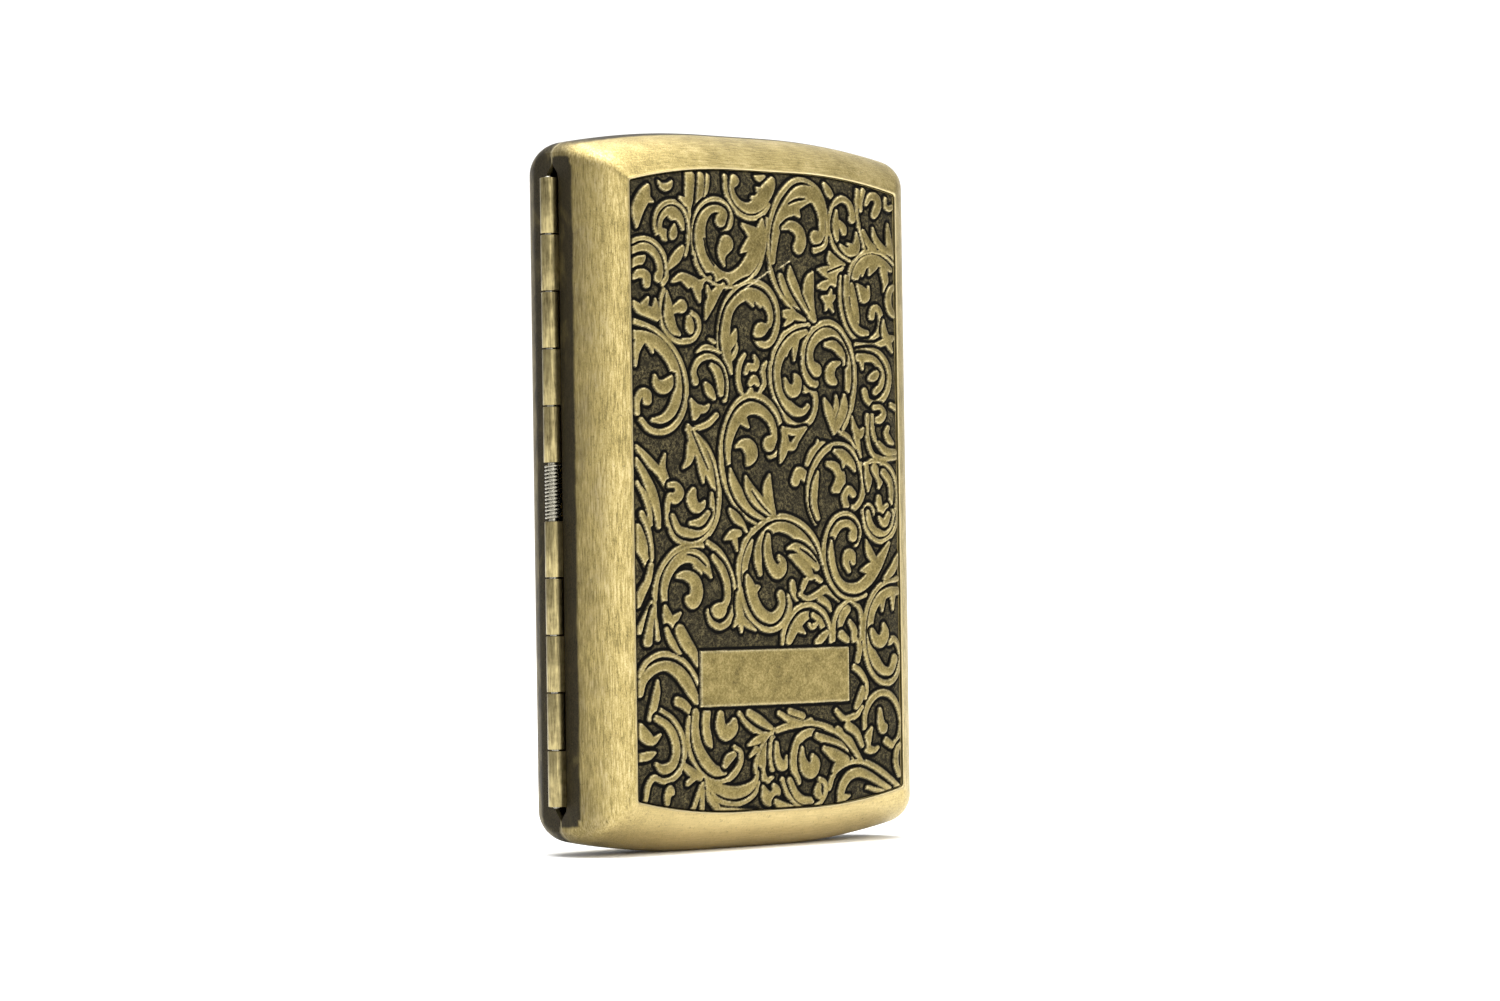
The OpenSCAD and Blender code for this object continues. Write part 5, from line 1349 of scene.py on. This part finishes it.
def pressed_tray(low, high, side):
    """A tray pressed from sheet: round floor edges and a round rim. side is -1 for the lid."""
    base = max(abs(low[1]), abs(high[1]))
    rim = min(abs(low[1]), abs(high[1]))
    outer_r = 0.9
    inner_r = 0.6
    lip = TRAY_T / 2
    rows = [(outer_r * (1 - s), base - outer_r * (1 - c)) for s, c in quarter()]
    rows += [(lip * (1 - c), rim + lip * (1 - s)) for s, c in quarter(4)]
    rows += [(lip * (1 + s), rim + lip * (1 - c)) for s, c in quarter(4)[1:]]
    rows += [(TRAY_T + inner_r * (1 - c), base - TRAY_T - inner_r * (1 - s)) for s, c in quarter()]
    rings = []
    for inset_by, y in rows:
        across = high[0] - low[0] - 2 * inset_by
        along = high[2] - low[2] - 2 * inset_by
        o = rounded_rect(across, along, max(TRAY_R - inset_by, 0.4))
        rings.append(np.stack([o[:, 0], np.full(len(o), side * y), o[:, 1]], 1))
    return rings_mesh(rings, [[0, side * base, 0], [0, side * (base - TRAY_T), 0]])


def needle_tray():
    """The back tray, with a rib between the felt and the magnet."""
    low, high = box_mm("needle_tray")
    felt_low = box_mm("needle_felt")[0]
    magnet_high = box_mm("needle_magnet")[1]
    rib_w = felt_low[2] - magnet_high[2] - 2 * PAD_GAP
    rib = rounded_rect(high[0] - low[0] - 2 * TRAY_T - 0.05, rib_w, 0.05, 2)
    rib = rib + [0, (felt_low[2] + magnet_high[2]) / 2]
    parts = [pressed_tray(low, high, 1), extruded(rib, felt_low[1] + 0.1, high[1] - 0.2, 0.12, along_y)]
    v, f = joined(parts)
    return make_mesh("tray_back", v, f, "back", TRAY, ["needle_tray"], 50)


def lid_tray():
    v, f = pressed_tray(*box_mm("lid_tray"), -1)
    return make_mesh("tray_front", v, outward(v, f), "lid", TRAY, ["lid_tray"], 50)


def bars():
    """The two flat bars over the lid's tray, with round edges and a shallow bead along the middle."""
    low, high = box_mm("packet_bars")
    bar_w = 4
    parts = []
    for z in (low[2] + bar_w / 2, high[2] - bar_w / 2):
        flat = rounded_rect(high[0] - low[0], bar_w, 0.8) + [0, z]
        parts.append(extruded(flat, low[1], high[1] - 0.12, 0.12, along_y))
        bead = rounded_rect(high[0] - low[0] - 5, 1.4, 0.69) + [0, z]
        parts.append(extruded(bead, low[1] + 0.1, high[1], 0.2, along_y))
    v, f = joined(parts)
    return make_mesh("bars", v, f, "lid", TRAY, ["packet_bars"], 50)


def cut_away(obj, low, high):
    """Cuts a box, given in millimetres, out of a piece."""
    flat = rounded_rect(high[0] - low[0], high[1] - low[1], 0.05, 1)
    v, f = extruded(flat, low[2], high[2], 0.01, along_z)
    v = v + [(low[0] + high[0]) / 2, (low[1] + high[1]) / 2, 0]
    mesh = bpy.data.meshes.new("cutter")
    mesh.from_pydata(((v + [0, 0, MID_Z]) * MM).tolist(), [], outward(v, f))
    cutter = bpy.data.objects.new("cutter", mesh)
    bpy.context.scene.collection.objects.link(cutter)
    modifier = obj.modifiers.new("notch", "BOOLEAN")
    modifier.object = cutter
    apply_modifiers(obj)
    bpy.data.objects.remove(cutter)


def apply_modifiers(obj):
    evaluated = obj.evaluated_get(bpy.context.evaluated_depsgraph_get())
    mesh = bpy.data.meshes.new_from_object(evaluated)
    obj.modifiers.clear()
    obj.data = mesh


def pad(name, node, body, slot, material, texture, lugs=False):
    """A pad cut from sheet, with soft edges. texture(x, z) gives the depth, in mm, taken off its face."""
    low, high = box_mm(node)
    outward_y = 1 if high[1] > 0 else -1
    flat = rounded_rect(high[0] - low[0], high[2] - low[2], PAD_R, 6) + [0, (low[2] + high[2]) / 2]
    v, f = extruded(flat, low[1], high[1], 0.3, along_y)
    obj = make_mesh(name, v, outward(v, f), body, material, [node])
    if lugs:
        lug_low, lug_high = box_mm("bail_lugs")
        for end in (-1, 1):
            near, far = sorted((end * (lug_high[2] - LUG_T - PAD_GAP), end * (lug_high[2] + PAD_GAP)))
            if near > low[2] and far < high[2]:
                notch_low = (lug_low[0] - PAD_GAP, low[1] - 1, near)
                notch_high = (lug_high[0] + PAD_GAP, high[1] + 1, far)
                cut_away(obj, notch_low, notch_high)
    remesh = obj.modifiers.new("remesh", "REMESH")
    remesh.mode = "VOXEL"
    remesh.voxel_size = PAD_VOXEL * MM
    apply_modifiers(obj)
    mesh = obj.data
    points = np.empty(len(mesh.vertices) * 3)
    mesh.vertices.foreach_get("co", points)
    points = points.reshape(-1, 3) / MM
    face_y = low[1] if outward_y > 0 else high[1]
    exposed = smooth(np.abs(points[:, 1] - face_y), 0.5, 0.1)
    depth = texture(points[:, 0], points[:, 2])
    points[:, 1] += outward_y * exposed * depth
    mesh.vertices.foreach_set("co", (points * MM).ravel())
    mesh.shade_smooth()
    mesh.update()
    return obj


def felted(x, z):
    """Matted wool: small soft lumps over a slow wave."""
    lumps = np.sin(2.9 * x + 1.7 * np.sin(1.3 * z)) * np.sin(3.3 * z + 1.9 * np.sin(1.1 * x))
    wave = np.sin(0.21 * x + 0.6) * np.sin(0.17 * z + 0.3)
    return 0.12 + 0.035 * lumps + 0.07 * wave


def ribbed(_, z):
    """Fine ribs along the magnet strip."""
    rib_pitch = 1.6
    return 0.06 + 0.05 * np.cos(2 * math.pi * z / rib_pitch)


needle_tray()
lid_tray()
bars()
pad("felt_back", "needle_felt", "back", "felt", FELT, felted, True)
pad("felt_front", "lid_felt", "lid", "felt", FELT, felted)
pad("magnet_strip", "needle_magnet", "back", "magnet", MAGNET, ribbed, True)


def latch_springs():
    """Two coil springs round the latch posts, built at one length."""
    low, high = box_mm("latch_springs")
    wire_r = 0.18
    turns = 5
    outer_r = (high[1] - low[1]) / 2
    coil_r = outer_r - wire_r
    centre_y = (high[1] + low[1]) / 2
    turned = np.linspace(0, turns, turns * 24 + 1)
    x = np.interp(turned, [0, 0.75, turns - 0.75, turns], [low[0] + wire_r] * 2 + [high[0] - wire_r] * 2)
    a = turned * 2 * math.pi
    coils = []
    for centre_z in (low[2] + outer_r, high[2] - outer_r):
        path = np.stack([x, centre_y + coil_r * np.cos(a), centre_z + coil_r * np.sin(a)], 1)
        coils.append(swept(path, wire_r, 10))
    v, f = joined(coils)
    obj = make_mesh("button_springs", v, f, "back", STEEL, ["latch_springs"], 60)
    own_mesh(obj)


latch_springs()


# ---------------------------------------------------------------- carried-over CAD pieces

CAD_LOOKS = {
    "retaining_bail": TRAY, "bail_lugs": LEAF, "bail_pins": STEEL, "bail_springs": STEEL,
    "latch_posts": LEAF, "latch_plate": LEAF, "latch_button": LEAF, "latch_keeper": LEAF,
}
for node, look in CAD_LOOKS.items():
    mesh = frame["nodes"][node].data
    for k in range(len(mesh.materials)):
        mesh.materials[k] = look


# ---------------------------------------------------------------- stage, light and camera

def stage_plane():
    """A pale sweep: floor, a wide round bend, and a wall far behind. Lengths are in metres."""
    floor = 1.6
    bend = 0.8
    profile = [(-floor, 0.0), (floor, 0.0)]
    for a in np.linspace(0.1, math.pi / 2, 14):
        profile.append((floor + bend * math.sin(a), bend - bend * math.cos(a)))
    profile.append((floor + bend, 3.0))
    verts = []
    faces = []
    yaw = math.radians(-CAMERA_AZIMUTH)
    for k, (d, z) in enumerate(profile):
        for s in (-3.5, 3.5):
            verts.append((s * math.cos(yaw) + d * math.sin(yaw), -s * math.sin(yaw) + d * math.cos(yaw), z))
        if k:
            faces.append((2 * k - 2, 2 * k - 1, 2 * k + 1, 2 * k))
    mesh = bpy.data.meshes.new("sweep")
    mesh.from_pydata(verts, [], faces)
    mesh.shade_smooth()
    n = Nodes("pale_paper", metallic=0.0)
    grain = n.noise(0.02, (1, 1, 1), 3, 0.5)
    white = n.ramp(grain, [(0.3, srgb(250, 250, 250)), (0.7, srgb(254, 254, 254))])
    mesh.materials.append(n.finish(white, 0.9))
    obj = bpy.data.objects.new("sweep", mesh)
    bpy.context.scene.collection.objects.link(obj)


def area_light(name, place, size, power, colour=(1, 1, 1)):
    light = bpy.data.lights.new(name, "AREA")
    light.shape = "RECTANGLE"
    light.size, light.size_y = size
    light.energy = power
    light.color = colour
    obj = bpy.data.objects.new(name, light)
    obj.location = place
    aim = Vector((0, 0, 0.05)) - Vector(place)
    obj.rotation_euler = aim.to_track_quat("-Z", "Y").to_euler()
    bpy.context.scene.collection.objects.link(obj)


# The photo's camera: angles in degrees, distance in metres, lens in millimetres on a 36 mm sensor
CAMERA_AZIMUTH = -41.6
CAMERA_ELEVATION = -0.87
CAMERA_ROLL = 0.84
CAMERA_DISTANCE = 0.638
CAMERA_LENS = 109.18
CAMERA_SHIFT = (0.0175, -0.0058)


def camera():
    az, el, roll = (math.radians(a) for a in (CAMERA_AZIMUTH, CAMERA_ELEVATION, CAMERA_ROLL))
    away = Vector((math.sin(az) * math.cos(el), -math.cos(az) * math.cos(el), math.sin(el)))
    right = Vector((math.cos(az), math.sin(az), 0))
    up = right.cross(-away)
    rolled_right = right * math.cos(roll) - up * math.sin(roll)
    rolled_up = right * math.sin(roll) + up * math.cos(roll)
    data = bpy.data.cameras.new("camera")
    data.sensor_width = 36
    data.lens = CAMERA_LENS
    data.shift_x, data.shift_y = CAMERA_SHIFT
    data.clip_end = 20
    obj = bpy.data.objects.new("camera", data)
    turn = Matrix((rolled_right, rolled_up, away)).transposed()
    place = Vector((0, 0, MID_Z * MM)) + away * CAMERA_DISTANCE
    obj.matrix_world = Matrix.Translation(place) @ turn.to_4x4()
    bpy.context.scene.collection.objects.link(obj)
    bpy.context.scene.camera = obj


def world_light():
    world = bpy.data.worlds.new("studio")
    world.use_nodes = True
    world.node_tree.nodes["Background"].inputs["Color"].default_value = (1, 1, 1, 1)
    world.node_tree.nodes["Background"].inputs["Strength"].default_value = 0.64
    bpy.context.scene.world = world


stage_plane()
world_light()
area_light("key", (0.5, -1.1, 1.1), (0.9, 0.9), 9)
area_light("front", (-0.6, -1.3, 0.35), (0.5, 0.9), 3.4)
area_light("top", (0.0, 0.1, 1.5), (1.6, 1.6), 48)
camera()
bpy.context.scene.view_settings.view_transform = "Standard"
